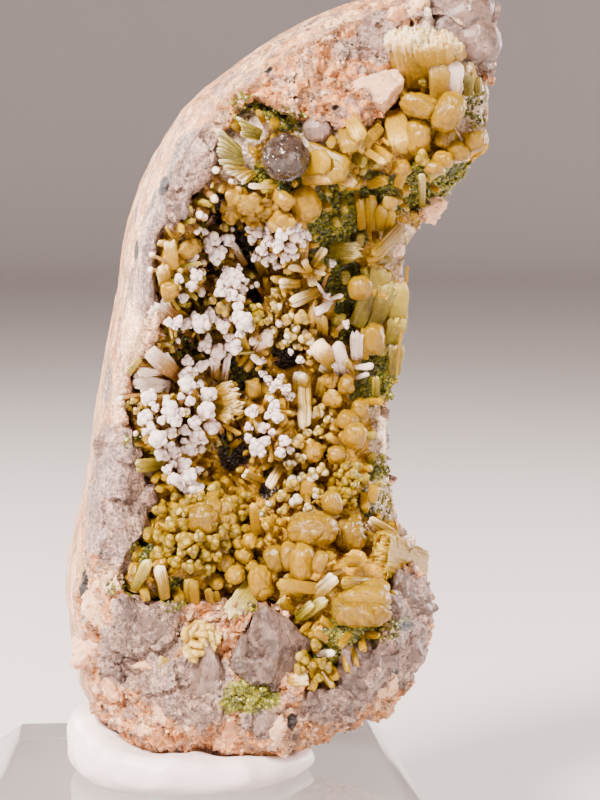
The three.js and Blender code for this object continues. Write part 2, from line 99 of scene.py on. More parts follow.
LOG = logging.getLogger("specimen")
MM = 0.001  # metres in a millimetre
PHOTO_WIDE = 600
PHOTO_TALL = 800
STONE_BODY = "root"
GOLDEN_TURN = math.pi * (3 - math.sqrt(5))  # spreads points evenly over a disc or a ball
FORWARD = Vector((0, -1, 0))  # out of the stone's broken face

Pixel = tuple[float, float]
Triple = tuple[float, float, float]
Array = np.ndarray
Material = bpy.types.Material
Piece = bpy.types.Object

# What most shader nodes of a type are set to, and the output that is wanted of them. A Mix of
# colours has its share at input 0 and the colours at 6 and 7, and Math gives input 0 times 1 plus 2.
USUAL = {"Mix": {"data_type": "RGBA"}, "Math": {"operation": "MULTIPLY_ADD"}}
USUAL_OUTPUT = {"TexCoord": "Object", "Attribute": "Fac"}


def srgb(code: str) -> tuple[float, float, float, float]:
    """Turns an sRGB hex value to linear light.

    Args:
        code: The hex value.

    Returns:
        Red, green, blue and a full alpha.
    """
    channels = [int(code[i : i + 2], 16) / 255 for i in (1, 3, 5)]
    linear = [c / 12.92 if c <= 0.04045 else ((c + 0.055) / 1.055) ** 2.4 for c in channels]
    return (*linear, 1.0)


def per_mm(size: float) -> float:
    """Gives the texture scale whose pattern repeats about every size millimetres."""
    return 1 / (size * MM)


def add_node(
    tree: bpy.types.NodeTree, kind: str, settings: dict | None = None, links: dict | None = None,
    out: str | None = None,
) -> bpy.types.NodeSocket | None:
    """Adds a shader node with its settings and links.

    Args:
        tree: The material's node tree.
        kind: The node's type, without the word ShaderNode.
        settings: Values by a property's name or an input's name or number; colours may be hex.
        links: Outputs by the name or number of the input that they feed.
        out: The wanted output's name, or none for the usual one or else the first in use.

    Returns:
        The node's output.
    """
    node = tree.nodes.new("ShaderNode" + kind)
    for key, value in (USUAL.get(kind, {}) | (settings or {})).items():
        value = srgb(value) if str(value).startswith("#") else value
        if isinstance(key, str) and hasattr(node, key):
            setattr(node, key, value)
        else:
            node.inputs[key].default_value = value
    for key, source in (links or {}).items():
        tree.links.new(source, node.inputs[key])
    out = out or USUAL_OUTPUT.get(kind)
    if out:
        return node.outputs[out]
    return next((socket for socket in node.outputs if socket.enabled), None)


def new_material(name: str) -> tuple[Material, Callable]:
    """Makes an empty node material.

    Args:
        name: The material's name.

    Returns:
        The material, and add_node for its own tree.
    """
    material = bpy.data.materials.new(name)
    material.use_nodes = True
    material.node_tree.nodes.clear()
    return material, partial(add_node, material.node_tree)


def span(low: float, high: float, first: float = 0, last: float = 1) -> dict[str, float]:
    """Gives the settings that map low to first and high to last."""
    return {"From Min": low, "From Max": high, "To Min": first, "To Max": last}


def swells(width: float, detail: float, rough: float = 0.5) -> dict[str, float]:
    """Gives the settings of a noise, by the width of its swells."""
    return {"Scale": per_mm(width), "Detail": detail, "Roughness": rough}


def under_glow(weight: float, radius: Triple, reach: float) -> dict[str, object]:
    """Gives the settings of light that spreads under a surface: red, green and blue, and its reach."""
    return {"Subsurface Weight": weight, "Subsurface Radius": radius, "Subsurface Scale": reach * MM}


def smoothstep(low: float, high: float, value: Array) -> Array:
    """Rises smoothly from 0 at low to 1 at high."""
    t = np.clip((value - low) / (high - low), 0, 1)
    return t * t * (3 - 2 * t)


def noise_at(points: Array, size: float, seed: float = 0.0) -> Array:
    """Gives smooth noise from about -1 to 1.

    Args:
        points: Places.
        size: The width of a swell.
        seed: A number that picks another pattern.

    Returns:
        One value for each place.
    """
    shift = Vector((17.3, 9.1, 5.7)) * (seed + 1)
    return np.array([noise.noise(Vector(p) + shift) for p in points / size])


def dice(cells: Array, salt: int) -> Array:
    """Gives repeatable random numbers from 0 to 1 for whole-number cells.

    Args:
        cells: Cell numbers, three to a row.
        salt: A number that picks another roll.

    Returns:
        One number for each row.
    """
    x, y, z = (cells[..., k].astype(np.int64) for k in range(3))
    key = (x * 73856093) ^ (y * 19349663) ^ (z * 83492791) ^ (salt * 40503 + 977)
    key = ((key ^ (key >> 13)) * 1274126177) & 0x7FFFFFFF
    key = ((key ^ (key >> 15)) * 668265263) & 0x7FFFFFFF
    return ((key ^ (key >> 11)) & 0xFFFFFF) / 0x1000000


def columns_along(axis: Vector, facing: Vector, turn: float, sizes: Triple) -> Array:
    """Gives the columns that stand a shape along an axis.

    Args:
        axis: Where the shape's Z goes.
        facing: Where its broad side looks.
        turn: How far it is turned about the axis, in radians.
        sizes: Its scale across, through and along.

    Returns:
        A matrix of three columns.
    """
    up = axis.normalized()
    side = up.cross(facing)
    if side.length < 1e-3:
        side = up.cross(Vector((0, 0, 1)))
    side = side.normalized()
    through = up.cross(side)
    across = side * math.cos(turn) + through * math.sin(turn)
    through = up.cross(across)
    return np.array([across * sizes[0], through * sizes[1], up * sizes[2]]).T


@dataclass(frozen=True)
class Grains:
    """Mineral grains that fill space: cells about random hearts."""

    pitch: float  # the mean width of a grain
    seed: int  # picks another set of grains

    def split(self, points: Array) -> tuple[Array, Array, Array]:
        """Finds the grain that each place lies in.

        Args:
            points: Places.

        Returns:
            The grain's cell number, the place seen from its heart, and how far the border is.
        """
        base = np.floor(points / self.pitch)
        best = np.full(len(points), np.inf)
        second = np.full(len(points), np.inf)
        cell = np.zeros_like(base)
        offset = np.zeros_like(points)
        for step in np.ndindex(3, 3, 3):
            near = base + np.array(step) - 1
            heart = np.stack([near[:, k] + dice(near, self.seed + k) for k in range(3)], 1) * self.pitch
            away = points - heart
            distance = np.linalg.norm(away, axis=1)
            closer = distance < best
            second = np.where(closer, best, np.minimum(second, distance))
            best = np.where(closer, distance, best)
            cell[closer] = near[closer]
            offset[closer] = away[closer]
        return cell, offset, second - best

    def facets(self, points: Array, step: float, tilt: float) -> Array:
        """Gives the relief of a break along grain faces.

        Args:
            points: Places.
            step: How much one grain stands out past another.
            tilt: The slope of a grain's face.

        Returns:
            How far each place stands out.
        """
        cell, offset, _ = self.split(points)
        lean = np.stack([dice(cell, self.seed + 10 + k) - 0.5 for k in range(3)], 1) * 2 * tilt
        return step * (dice(cell, self.seed + 20) - 0.5) * 2 + (lean * offset).sum(1)


def select_only(*pieces: Piece) -> None:
    """Selects these pieces and nothing else, and makes the first one active.

    Args:
        pieces: The pieces.
    """
    for piece in bpy.context.scene.objects:
        piece.select_set(piece in pieces)
    bpy.context.view_layer.objects.active = pieces[0]


@contextmanager
def editing(everything: bool = True) -> Iterator[None]:
    """Holds the active piece in edit mode, with everything selected or with what was.

    Args:
        everything: Whether all of it is selected.

    Yields:
        Nothing.
    """
    bpy.ops.object.mode_set(mode="EDIT")
    if everything:
        bpy.ops.mesh.select_all(action="SELECT")
    yield
    bpy.ops.object.mode_set(mode="OBJECT")


def new_object(name: str, data: bpy.types.ID) -> Piece:
    """Gives the scene an object with this data.

    Args:
        name: The object's name.
        data: Its mesh, light or camera.

    Returns:
        The object.
    """
    piece = bpy.data.objects.new(name, data)
    bpy.context.scene.collection.objects.link(piece)
    return piece


def aim(thing: Piece, place: Vector, target: Vector) -> None:
    """Stands a light or a camera at a place and turns it to a target, both in millimetres.

    Args:
        thing: The light or the camera.
        place: Where it stands.
        target: What it looks at.
    """
    thing.location = place * MM
    thing.rotation_mode = "QUATERNION"
    thing.rotation_quaternion = (target - place).to_track_quat("-Z", "Y")


def modify(piece: Piece, kind: str, **settings: object) -> None:
    """Adds a modifier and applies it.

    Args:
        piece: The piece to change.
        kind: The modifier's type.
        settings: The modifier's values.
    """
    select_only(piece)
    modifier = piece.modifiers.new(kind.title(), kind)
    for key, value in settings.items():
        setattr(modifier, key, value)
    bpy.ops.object.modifier_apply(modifier=modifier.name)


def rows_of(collection: bpy.types.bpy_prop_collection, key: str) -> Array:
    """Reads a vector from each item of a collection.

    Args:
        collection: The items.
        key: The vector's name.

    Returns:
        The vectors, a row each.
    """
    flat = np.empty(len(collection) * 3, np.float32)
    collection.foreach_get(key, flat)
    return flat.reshape(-1, 3).astype(float)


def points_of(piece: Piece) -> Array:
    """Gives a piece's vertices in millimetres."""
    return rows_of(piece.data.vertices, "co") / MM


def normals_of(piece: Piece) -> Array:
    """Gives the outward direction at each vertex."""
    return rows_of(piece.data.vertex_normals, "vector")


def put_points(piece: Piece, points: Array) -> None:
    """Moves a piece's vertices to places in millimetres."""
    piece.data.vertices.foreach_set("co", (points * MM).astype(np.float32).ravel())
    piece.data.update()


def mark(piece: Piece, name: str, values: Array) -> None:
    """Writes one number for each vertex, which a material can read by its name."""
    attribute = piece.data.attributes.new(name, "FLOAT", "POINT")
    attribute.data.foreach_set("value", values.astype(np.float32))


def copied_node(node: str, name: str, voxel: float, smooth: int) -> Piece:
    """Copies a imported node, merges its loose triangles and divides it evenly.

    Args:
        node: The node's name in the frame.
        name: The new piece's name.
        voxel: The size of its new faces.
        smooth: How many times it is smoothed.

    Returns:
        The copy, a closed mesh.
    """
    piece = new_object(name, frame["nodes"][node].data.copy())
    piece.data.materials.clear()
    select_only(piece)
    with editing():
        bpy.ops.mesh.remove_doubles(threshold=0.01 * MM)
    modify(piece, "REMESH", mode="VOXEL", voxel_size=voxel * MM)
    modify(piece, "SMOOTH", factor=0.5, iterations=smooth)
    return piece


def finish_piece(piece: Piece, material: Material, sharp: float, slot: str, *nodes: str) -> None:
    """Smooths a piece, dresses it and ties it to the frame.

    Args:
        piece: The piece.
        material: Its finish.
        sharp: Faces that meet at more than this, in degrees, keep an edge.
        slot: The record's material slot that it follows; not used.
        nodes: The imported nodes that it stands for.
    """
    select_only(piece)
    bpy.ops.object.shade_smooth_by_angle(angle=math.radians(sharp))
    piece.data.materials.clear()
    piece.data.materials.append(material)
    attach(piece, STONE_BODY)
    if nodes:
        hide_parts(*nodes)
    triangles = sum(len(face.vertices) - 2 for face in piece.data.polygons)
    LOG.info("%s: %d triangles", piece.name, triangles)


@dataclass(frozen=True)
class PhotoCamera:
    """The camera of the photograph, which looks along +Y and a little down."""

    target: Triple = (11.9, -2.4, 60.0)  # the point at the middle of the picture
    distance: float = 300.0  # how far the camera stands from it
    elevation: float = 6.0  # how far it looks down, in degrees
    lens: float = 112.5  # the focal length
    sensor: float = 36.0  # the sensor's long side

    @property
    def place(self) -> Vector:
        """Gives where the camera stands."""
        tilt = math.radians(self.elevation)
        return Vector(self.target) + Vector((0, -math.cos(tilt), math.sin(tilt))) * self.distance

    @property
    def pixels_per_slope(self) -> float:
        """Gives the focal length in pixels of the photograph."""
        return self.lens / self.sensor * PHOTO_TALL

    def ray(self, pixel: Pixel) -> Vector:
        """Gives the direction from the camera through a pixel.

        Args:
            pixel: A place in the photograph.

        Returns:
            The direction.
        """
        tilt = math.radians(self.elevation)
        across = (pixel[0] - PHOTO_WIDE / 2) / self.pixels_per_slope
        up = (PHOTO_TALL / 2 - pixel[1]) / self.pixels_per_slope
        level = math.cos(tilt) + up * math.sin(tilt)
        return Vector((across, level, up * math.cos(tilt) - math.sin(tilt))).normalized()

    def pixel_of(self, point: Vector) -> Pixel:
        """Gives the pixel that shows a point.

        Args:
            point: The point.

        Returns:
            The pixel.
        """
        tilt = math.radians(self.elevation)
        away = point - self.place
        depth = away.y * math.cos(tilt) - away.z * math.sin(tilt)
        up = away.y * math.sin(tilt) + away.z * math.cos(tilt)
        scale = self.pixels_per_slope / depth
        return (PHOTO_WIDE / 2 + away.x * scale, PHOTO_TALL / 2 - up * scale)

    def build(self) -> None:
        """Makes the camera and gives it to the scene."""
        data = bpy.data.cameras.new("photo_camera")
        data.lens = self.lens
        data.sensor_width = self.sensor
        data.clip_start = 0.01
        data.clip_end = 20
        camera = new_object("photo_camera", data)
        aim(camera, self.place, Vector(self.target))
        bpy.context.scene.camera = camera


CAMERA = PhotoCamera()
PIXELS_PER_MM = CAMERA.pixels_per_slope / CAMERA.distance


class Surface:
    """The outside of some pieces, for the rays that place crystals and patches on it."""

    def __init__(self, *pieces: Piece) -> None:
        """Reads the pieces' meshes.

        Args:
            pieces: Meshes whose objects sit at the origin.
        """
        points: list[Vector] = []
        faces: list[tuple[int, ...]] = []
        for piece in pieces:
            start = len(points)
            points.extend(Vector(p) for p in points_of(piece))
            faces.extend(tuple(start + v for v in face.vertices) for face in piece.data.polygons)
        self.tree = BVHTree.FromPolygons(points, faces)

    def under(self, pixel: Pixel) -> tuple[Vector, Vector]:
        """Finds what a pixel of the photograph shows.

        Args:
            pixel: A place in the photograph.

        Returns:
            The point and its outward normal. A ray that misses gives the nearest point to it.
        """
        ray = CAMERA.ray(pixel)
        point, normal, _, _ = self.tree.ray_cast(CAMERA.place, ray)
        if point is None:
            passing = CAMERA.place + ray * CAMERA.distance
            point, normal, _, _ = self.tree.find_nearest(passing)
        return point, normal

    def holds(self, point: Vector, radius: float) -> bool:
        """Tells whether a round thing stays inside the outline that the camera sees.

        Args:
            point: Its middle.
            radius: Its radius.

        Returns:
            Whether it does.
        """
        for step in ((1, 0, 0), (-1, 0, 0), (0, 0, 1), (0, 0, -1)):
            way = point + Vector(step) * radius - CAMERA.place
            if self.tree.ray_cast(CAMERA.place, way.normalized())[0] is None:
                return False
        return True

    def depth_behind(self, start: Vector, direction: Vector, reach: float) -> float:
        """Gives how far the surface lies in a direction, or the whole reach."""
        point, _, _, distance = self.tree.ray_cast(start, direction, reach)
        return reach if point is None else distance


@dataclass(frozen=True)
class Studio:
    """A plain pale room: a floor that rises to a wall all round, and soft lights."""

    floor_radius: float = 1300.0  # where the floor starts to rise
    wall_radius: float = 1900.0  # where it has become a wall
    wall_height: float = 1500.0  # how high the wall goes
    floor_colour: str = "#d6d0ce"  # the floor's pale grey
    world_colour: str = "#f4e8e6"  # the light that comes from all round
    world_strength: float = 0.2  # how strong it is

    def build(self) -> None:
        """Makes the floor, the lights and the world."""
        self._floor()
        # Each light: its name, place and side, its watts and its colour.
        for name, place, size, power, colour in (
            ("key", (-230, -400, 470), 150, 18.0, "#ffeee6"),
            ("fill", (380, -480, 120), 300, 3.0, "#ffeae2"),
            ("left_rim", (-380, 150, 260), 180, 6.5, "#fff3ef"),
            ("right_rim", (360, 190, 150), 180, 3.0, "#fff3ef"),
        ):
            data = bpy.data.lights.new(name, "AREA")
            data.shape = "SQUARE"
            data.size = size * MM
            data.energy = power
            data.color = srgb(colour)[:3]
            aim(new_object(name, data), Vector(place), Vector(CAMERA.target))
        world = bpy.data.worlds.new("soft_room")
        world.use_nodes = True
        background = world.node_tree.nodes["Background"]
        background.inputs["Color"].default_value = srgb(self.world_colour)
        background.inputs["Strength"].default_value = self.world_strength
        bpy.context.scene.world = world

    def _floor(self) -> None:
        """Models the floor as a disc whose rim is drawn up into a wall."""
        steps = 10
        bpy.ops.object.select_all(action="DESELECT")
        bpy.ops.mesh.primitive_circle_add(vertices=96, radius=self.floor_radius * MM, fill_type="NGON")
        floor = bpy.context.object
        floor.name = "studio_floor"
        radius = self.floor_radius
        height = 0.0
        with editing():
            for k in range(1, steps + 1):
                turn = math.pi / 2 * k / steps
                next_radius = self.floor_radius + (self.wall_radius - self.floor_radius) * math.sin(turn)
                next_height = self.wall_height * (1 - math.cos(turn))
                rise = {"value": (0, 0, (next_height - height) * MM)}
                bpy.ops.mesh.extrude_edges_move(TRANSFORM_OT_translate=rise)
                share = next_radius / radius
                bpy.ops.transform.resize(value=(share, share, 1), center_override=(0, 0, 0))
                radius = next_radius
                height = next_height
        bpy.ops.object.shade_smooth()
        material, add = new_material("pale_studio_paper")
        shader = add("BsdfPrincipled", {"Base Color": self.floor_colour, "Roughness": 0.75})
        add("OutputMaterial", links={"Surface": shader})
        floor.data.materials.append(material)
        floor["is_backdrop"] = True


@dataclass(frozen=True)
class AcrylicFinish:
    """Cast acrylic with polished faces: clear, with a few fine scratches from handling."""

    ior: float = 1.491
    roughness: float = 0.015
    scratch_mm: float = 9.0

    def build(self) -> Material:
        """Makes the material.

        Returns:
            The material.
        """
        material, add = new_material("cast_acrylic")
        place = add("TexCoord")
        drawn = add("Mapping", {"Rotation": (0, 0, 0.5), "Scale": (1, 0.05, 1)}, {"Vector": place})
        lines = add("TexNoise", swells(0.35, 1.0), {"Vector": drawn})
        where = add("TexNoise", {"Scale": per_mm(self.scratch_mm)}, {"Vector": place})
        thin = add("MapRange", span(0.70, 0.74), {"Value": lines})
        there = add("MapRange", span(0.52, 0.62), {"Value": where})
        scratch = add("Math", {"operation": "MULTIPLY"}, {0: thin, 1: there})
        bump = add("Bump", {"Strength": 0.3, "Distance": 0.03 * MM}, {"Height": scratch})
        shader = add(
            "BsdfPrincipled",
            {
                "Base Color": "#fbfdfd",
                "Roughness": self.roughness,
                "IOR": self.ior,
                "Transmission Weight": 1.0,
            },
            {"Normal": bump},
        )
        add("OutputMaterial", links={"Surface": shader})
        return material


@dataclass(frozen=True)
class PuttyFinish:
    """Museum putty, kneaded by hand: soft white with a faint stain, and a dull sheen."""

    body: str = "#f6e6e6"
    stain: str = "#bfc0b4"

    def build(self) -> Material:
        """Makes the material.

        Returns:
            The material.
        """
        material, add = new_material("kneaded_putty")
        place = add("TexCoord")
        cloud = add("TexNoise", swells(7, 6.0, 0.6), {"Vector": place})
        fine = add("TexNoise", swells(0.9, 5.0), {"Vector": place})
        share = add("MapRange", span(0.5, 0.7, 0, 0.6), {"Value": cloud})
        tint = add("Mix", {6: self.body, 7: self.stain}, {0: share})
        bump = add("Bump", {"Strength": 0.4, "Distance": 0.12 * MM}, {"Height": fine})
        shader = add(
            "BsdfPrincipled", {"Roughness": 0.38} | under_glow(0.3, (1.0, 0.8, 0.75), 1.2),
            {"Base Color": tint, "Normal": bump},
        )
        add("OutputMaterial", links={"Surface": shader})
        return material


class Mineral(Enum):
    """What a patch of the stone is made of, by the name of the mark that the finish reads."""

    QUARTZ = "quartz"
    PINK = "pink"
    WHITE = "white"
    GREEN = "green"
    DARK = "dark"


@dataclass(frozen=True)
class GraniteFinish:
    """Biotite granite, broken on one side and worn smooth by water on the other.

    The eye sees peach and cream feldspar, lilac-grey quartz with white veils and small dark mica
    flecks. The worn skin is paler, and its grains are drawn out along the stone. The low pits of the
    break's sugary face are painted darker, as painted shade.
    """

    salmon: str = "#aa6c38"
    peach: str = "#d09054"
    cream: str = "#c69059"
    white: str = "#edc9a8"
    grey: str = "#5a4840"
    lilac: str = "#a68a7d"
    mica: str = "#2a211b"
    green: str = "#454b05"
    bright_green: str = "#9a962c"

    def build(self) -> Material:
        """Makes the material.

        Returns:
            The material.
        """
        material, add = new_material("biotite_granite")
        place = add("TexCoord")
        marks = {m: add("Attribute", {"attribute_name": m.value}) for m in Mineral}
        skin = add("Attribute", {"attribute_name": "skin"})
        drawn = add("Mapping", {"Rotation": (0, 0.2, 0), "Scale": (1.2, 1.2, 0.34)}, {"Vector": place})
        course = add("Mix", {"data_type": "VECTOR"}, {0: skin, 4: place, 5: drawn})
        streaked = add("Mapping", {"Rotation": (0, 0.5, 0), "Scale": (1, 1, 0.3)}, {"Vector": place})
        # Each noise: its name, place, width, seed, finer layers and their strength.
        noises = {}
        for name, where, size, seed, detail, rough in (
            ("grain", course, 2.0, 1.0, 6.0, 0.66),
            ("quartz", course, 1.5, 5.0, 6.0, 0.62),
            ("white", course, 1.9, 13.0, 6.0, 0.65),
            ("fleck", course, 0.7, 21.0, 4.0, 0.6),
            ("band", course, 5.0, 31.0, 4.0, 0.55),
            ("veil", streaked, 1.3, 41.0, 6.0, 0.7),
            ("sugar", place, 0.34, 9.0, 4.0, 0.66),
        ):
            settings = {"noise_dimensions": "4D", "W": seed} | swells(size, detail, rough)
            noises[name] = add("TexNoise", settings, {"Vector": where})
        ragged = {
            m: add("Math", {1: 0.9}, {0: noises["sugar" if m is Mineral.DARK else "grain"], 2: value})
            for m, value in marks.items()
        }
        pairs = {}
        for name, by, low, high, first, second in (
            ("pink", "grain", 0.38, 0.60, self.salmon, self.peach),
            ("grey", "sugar", 0.32, 0.66, self.grey, self.lilac),
            ("pale", "sugar", 0.34, 0.62, self.cream, self.white),
            ("green", "sugar", 0.38, 0.62, self.green, self.bright_green),
        ):
            share = add("MapRange", span(low, high), {"Value": noises[by]})
            pairs[name] = add("Mix", {6: first, 7: second}, {0: share})
        veiled = add("MapRange", span(0.54, 0.70, 0, 0.8), {"Value": noises["veil"]})
        quartz = add("Mix", {7: self.white}, {0: veiled, 6: pairs["grey"]})
        rubbed = add("Math", {1: 0.5}, {0: skin, 2: noises["band"]})
        tint = pairs["pink"]
        # From the bottom up: what a layer follows, where it starts and ends, how far it covers, its colour.
        for by, low, high, most, colour in (
            (ragged[Mineral.PINK], 0.66, 0.78, 1.0, pairs["pink"]),
            (noises["white"], 0.50, 0.57, 0.9, pairs["pale"]),
            (rubbed, 0.92, 1.10, 0.7, pairs["pale"]),
            (noises["quartz"], 0.535, 0.575, 0.85, pairs["grey"]),
            (ragged[Mineral.WHITE], 0.68, 0.78, 1.0, pairs["pale"]),
            (ragged[Mineral.QUARTZ], 0.66, 0.76, 0.95, quartz),
            (ragged[Mineral.GREEN], 0.70, 0.80, 1.0, pairs["green"]),
        ):
            share = add("MapRange", span(low, high, 0, most), {"Value": by})
            tint = add("Mix", links={0: share, 6: tint, 7: colour})
        for by, low, high in ((noises["fleck"], 0.625, 0.655), (ragged[Mineral.DARK], 0.74, 0.80)):
            share = add("MapRange", span(low, high), {"Value": by})
            tint = add("Mix", {7: self.mica}, {0: share, 6: tint})
        # Every grain has a tone of its own, and the sugary face is painted darker in the low pits of its
        # bump, a painted shade.
        cell = add("TexVoronoi", {"Scale": per_mm(0.8)}, {"Vector": course}, "Color")
        own = add("SeparateColor", links={0: cell})
        grain_tone_and_pit_shade = add("Math", {1: 0.3}, {0: own, 2: noises["sugar"]})
        shade = add("MapRange", span(0.40, 0.84, 0.26, 1.34), {"Value": grain_tone_and_pit_shade})
        tint = add("Mix", {"blend_type": "MULTIPLY", 0: 1.0}, {6: tint, 7: shade})
        gloss = add("MapRange", span(0.3, 0.6, 0.42, 0.14), {"Value": marks[Mineral.QUARTZ]})
        raised = add("Math", {1: 0.7}, {0: noises["sugar"], 2: noises["grain"]})
        bump = add("Bump", {"Strength": 0.9, "Distance": 0.35 * MM}, {"Height": raised})
        shader = add(
            "BsdfPrincipled", under_glow(0.15, (1.0, 0.7, 0.6), 0.6),
            {"Base Color": tint, "Roughness": gloss, "Normal": bump},
        )
        add("OutputMaterial", links={"Surface": shader})
        return material


@dataclass(frozen=True)
class QuartzFinish:
    """Smoky grey quartz with a glassy break: half clear, crossed by white veils, wet-looking."""

    name: str
    deep: str
    pale: str
    clear: float  # the share of light that goes straight through
    roughness: float
    veil_mm: float = 1.5
    ripple_mm: float = 0.45
    ripple: float = 0.25  # the depth of the ripples
    veiled: float = 0.6  # how white the veils are

    def build(self) -> Material:
        """Makes the material.

        Returns:
            The material.
        """
        material, add = new_material(self.name)
        place = add("TexCoord")
        tone = add("Attribute", {"attribute_name": "tone"})
        veil = add("TexNoise", swells(self.veil_mm, 7.0, 0.68) | {"Distortion": 0.6}, {"Vector": place})
        ripple = add("TexNoise", swells(self.ripple_mm, 3.0), {"Vector": place})
        lit = add("Math", {1: 0.2}, {0: tone, 2: veil})
        cloud = add("MapRange", span(0.42, 0.78), {"Value": lit})
        body = add("Mix", {6: self.deep, 7: self.pale}, {0: cloud})
        streaked = add("Mapping", {"Rotation": (0.2, 0.5, 0), "Scale": (1, 1, 0.3)}, {"Vector": place})
        streak = add("TexNoise", swells(0.9, 6.0, 0.7), {"Vector": streaked})
        white = add("MapRange", span(0.56, 0.72, 0, self.veiled), {"Value": streak})
        tint = add("Mix", {7: "#efe2da"}, {0: white, 6: body})
        raised = add("Math", {1: 0.6}, {0: ripple, 2: veil})
        bump = add("Bump", {"Strength": 0.8, "Distance": self.ripple * MM}, {"Height": raised})
        settings = {"Roughness": self.roughness, "IOR": 1.544, "Transmission Weight": self.clear}
        settings |= under_glow(0.3, (1.0, 0.85, 0.8), 1.0)
        shader = add("BsdfPrincipled", settings, {"Base Color": tint, "Normal": bump})
        add("OutputMaterial", links={"Surface": shader})
        return material


@dataclass(frozen=True)
class FeldsparFinish:
    """Broken feldspar: peach with a satin cleavage, paler streaks and small dark inclusions."""

    salmon: str = "#c98a5c"
    pale: str = "#e4be9a"
    speck: str = "#6a4634"

    def build(self) -> Material:
        """Makes the material.

        Returns:
            The material.
        """
        material, add = new_material("broken_feldspar")
        place = add("TexCoord")
        tone = add("Attribute", {"attribute_name": "tone"})
        streak = add("Mapping", {"Rotation": (0.3, 0.6, 0), "Scale": (1, 1, 0.35)}, {"Vector": place})
        cloud = add("TexNoise", swells(0.6, 6.0, 0.7), {"Vector": streak})
        share = add("Math", {1: 0.35}, {0: tone, 2: cloud})
        spread = add("MapRange", span(0.42, 0.9), {"Value": share})
        body = add("Mix", {6: self.salmon, 7: self.pale}, {0: spread})
        dots = add("TexVoronoi", {"Scale": per_mm(0.9)}, {"Vector": place})
        dot = add("MapRange", span(0.16, 0.10, 0, 0.7), {"Value": dots})
        tint = add("Mix", {7: self.speck}, {0: dot, 6: body})
        bump = add("Bump", {"Strength": 0.8, "Distance": 0.25 * MM}, {"Height": cloud})
        shader = add(
            "BsdfPrincipled", {"Roughness": 0.36} | under_glow(0.25, (1.0, 0.65, 0.5), 0.8),
            {"Base Color": tint, "Normal": bump},
        )
        add("OutputMaterial", links={"Surface": shader})
        return material


MARKS = ("tip", "tone", "coat", "across", "dent")  # the numbers that each crystal vertex carries


@dataclass(frozen=True)
class ZeoliteFinish:
    """Grown zeolite: waxy, translucent, deeper at the root and in dents, own colour and painted shade, often
    white-coated.
    """

    name: str  # the material's name
    deep: str  # the colour at the root and in thick crystals, also painted into dents as painted shade
    body: str  # the colour at the tip
    coat: str  # the colour of the fine white growth on the tips, also a painted highlight on the key-lit side
    coated: float  # how readily the coat shows, from 0 to 1
    roughness: float  # the gloss of the bare faces
    lit_through: float  # the subsurface weight
    clear: float = 0.0  # the share of light that goes straight through
    crumb: float = 0.1  # the depth of the coat's crumbs
    glow_mm: float = 1.2  # how far light spreads under the surface
    key_light_side: Triple = (-0.5, -0.5, 0.7)  # the side of the key light, where the coat is painted on as a painted highlight

    def build(self) -> Material:
        """Makes the material.

        Returns:
            The material.
        """
        material, add = new_material(self.name)
        place = add("TexCoord")
        tip, tone, coat, across, dent = (add("Attribute", {"attribute_name": name}) for name in MARKS)
        cloud = add("TexNoise", swells(0.8, 5.0, 0.62), {"Vector": place})
        # Deeper colour towards the root and in the dents between lobes: partly the crystal's own colour,
        # partly painted shade.
        grown = add("Math", {1: 0.6}, {0: cloud, 2: tip})
        bare = add("Math", {1: -0.75}, {0: dent, 2: grown})
        tip_tone_and_dent_shade = add("MapRange", span(0.4, 1.3), {"Value": bare})
        body = add("Mix", {6: self.deep, 7: self.body}, {0: tip_tone_and_dent_shade})
        flaws = add("TexNoise", swells(0.4, 5.0, 0.65), {"Vector": place})
        mixed = add("Math", {1: 0.35}, {0: tone, 2: flaws})
        toned = add("MapRange", span(0.35, 1.0, 0.6, 1.25), {"Value": mixed})
        varied = add("Mix", {"blend_type": "MULTIPLY", 0: 1.0}, {6: body, 7: toned})
        # The white coat is real growth on tips and in stripes, and is also painted on faces towards the key
        # light as a painted highlight and kept out of dents as painted shade.
        normal = add("TexCoord", out="Normal")
        facing = add("VectorMath", {"operation": "DOT_PRODUCT", 1: self.key_light_side}, {0: normal})
        key_lit_share = add("Math", {1: 0.35}, {0: facing, 2: bare})
        key_lit_out_of_dents = add("Math", {1: -0.9}, {0: dent, 2: key_lit_share})
        stripes = add("TexNoise", {"noise_dimensions": "1D", "Scale": 4.5, "Detail": 3.0}, {"W": across})
        streaked = add("Math", {1: 0.7}, {0: stripes, 2: key_lit_out_of_dents})
        reach = add("Math", {1: 0.9}, {0: coat, 2: streaked})
        start = 2.25 - 0.75 * self.coated
        full = start + 0.3 + 0.7 * (1 - self.coated)
        coated = add("MapRange", span(start, full, 0, 0.94), {"Value": reach})
        tint = add("Mix", {7: self.coat}, {0: coated, 6: varied})
        dull = add("MapRange", span(0, 1, self.roughness, 0.55), {"Value": coated})
        through = add("MapRange", span(0, 1, self.clear, 0.0), {"Value": coated})
        crumbs = add("TexNoise", swells(0.28, 3.0, 0.6), {"Vector": place})
        crumb = add("Math", {"operation": "MULTIPLY"}, {0: crumbs, 1: coated})
        bumpy = add("Math", {1: 0.8}, {0: flaws, 2: stripes})
        raised = add("Math", {1: 1.6}, {0: crumb, 2: bumpy})
        bump = add("Bump", {"Strength": 0.8, "Distance": self.crumb * MM}, {"Height": raised})
        glow = under_glow(self.lit_through, (1.0, 0.85, 0.3), self.glow_mm)
        shader = add(
            "BsdfPrincipled", {"IOR": 1.5, "Specular IOR Level": 0.36} | glow,
            {"Base Color": tint, "Roughness": dull, "Transmission Weight": through, "Normal": bump},
        )
        add("OutputMaterial", links={"Surface": shader})
        return material


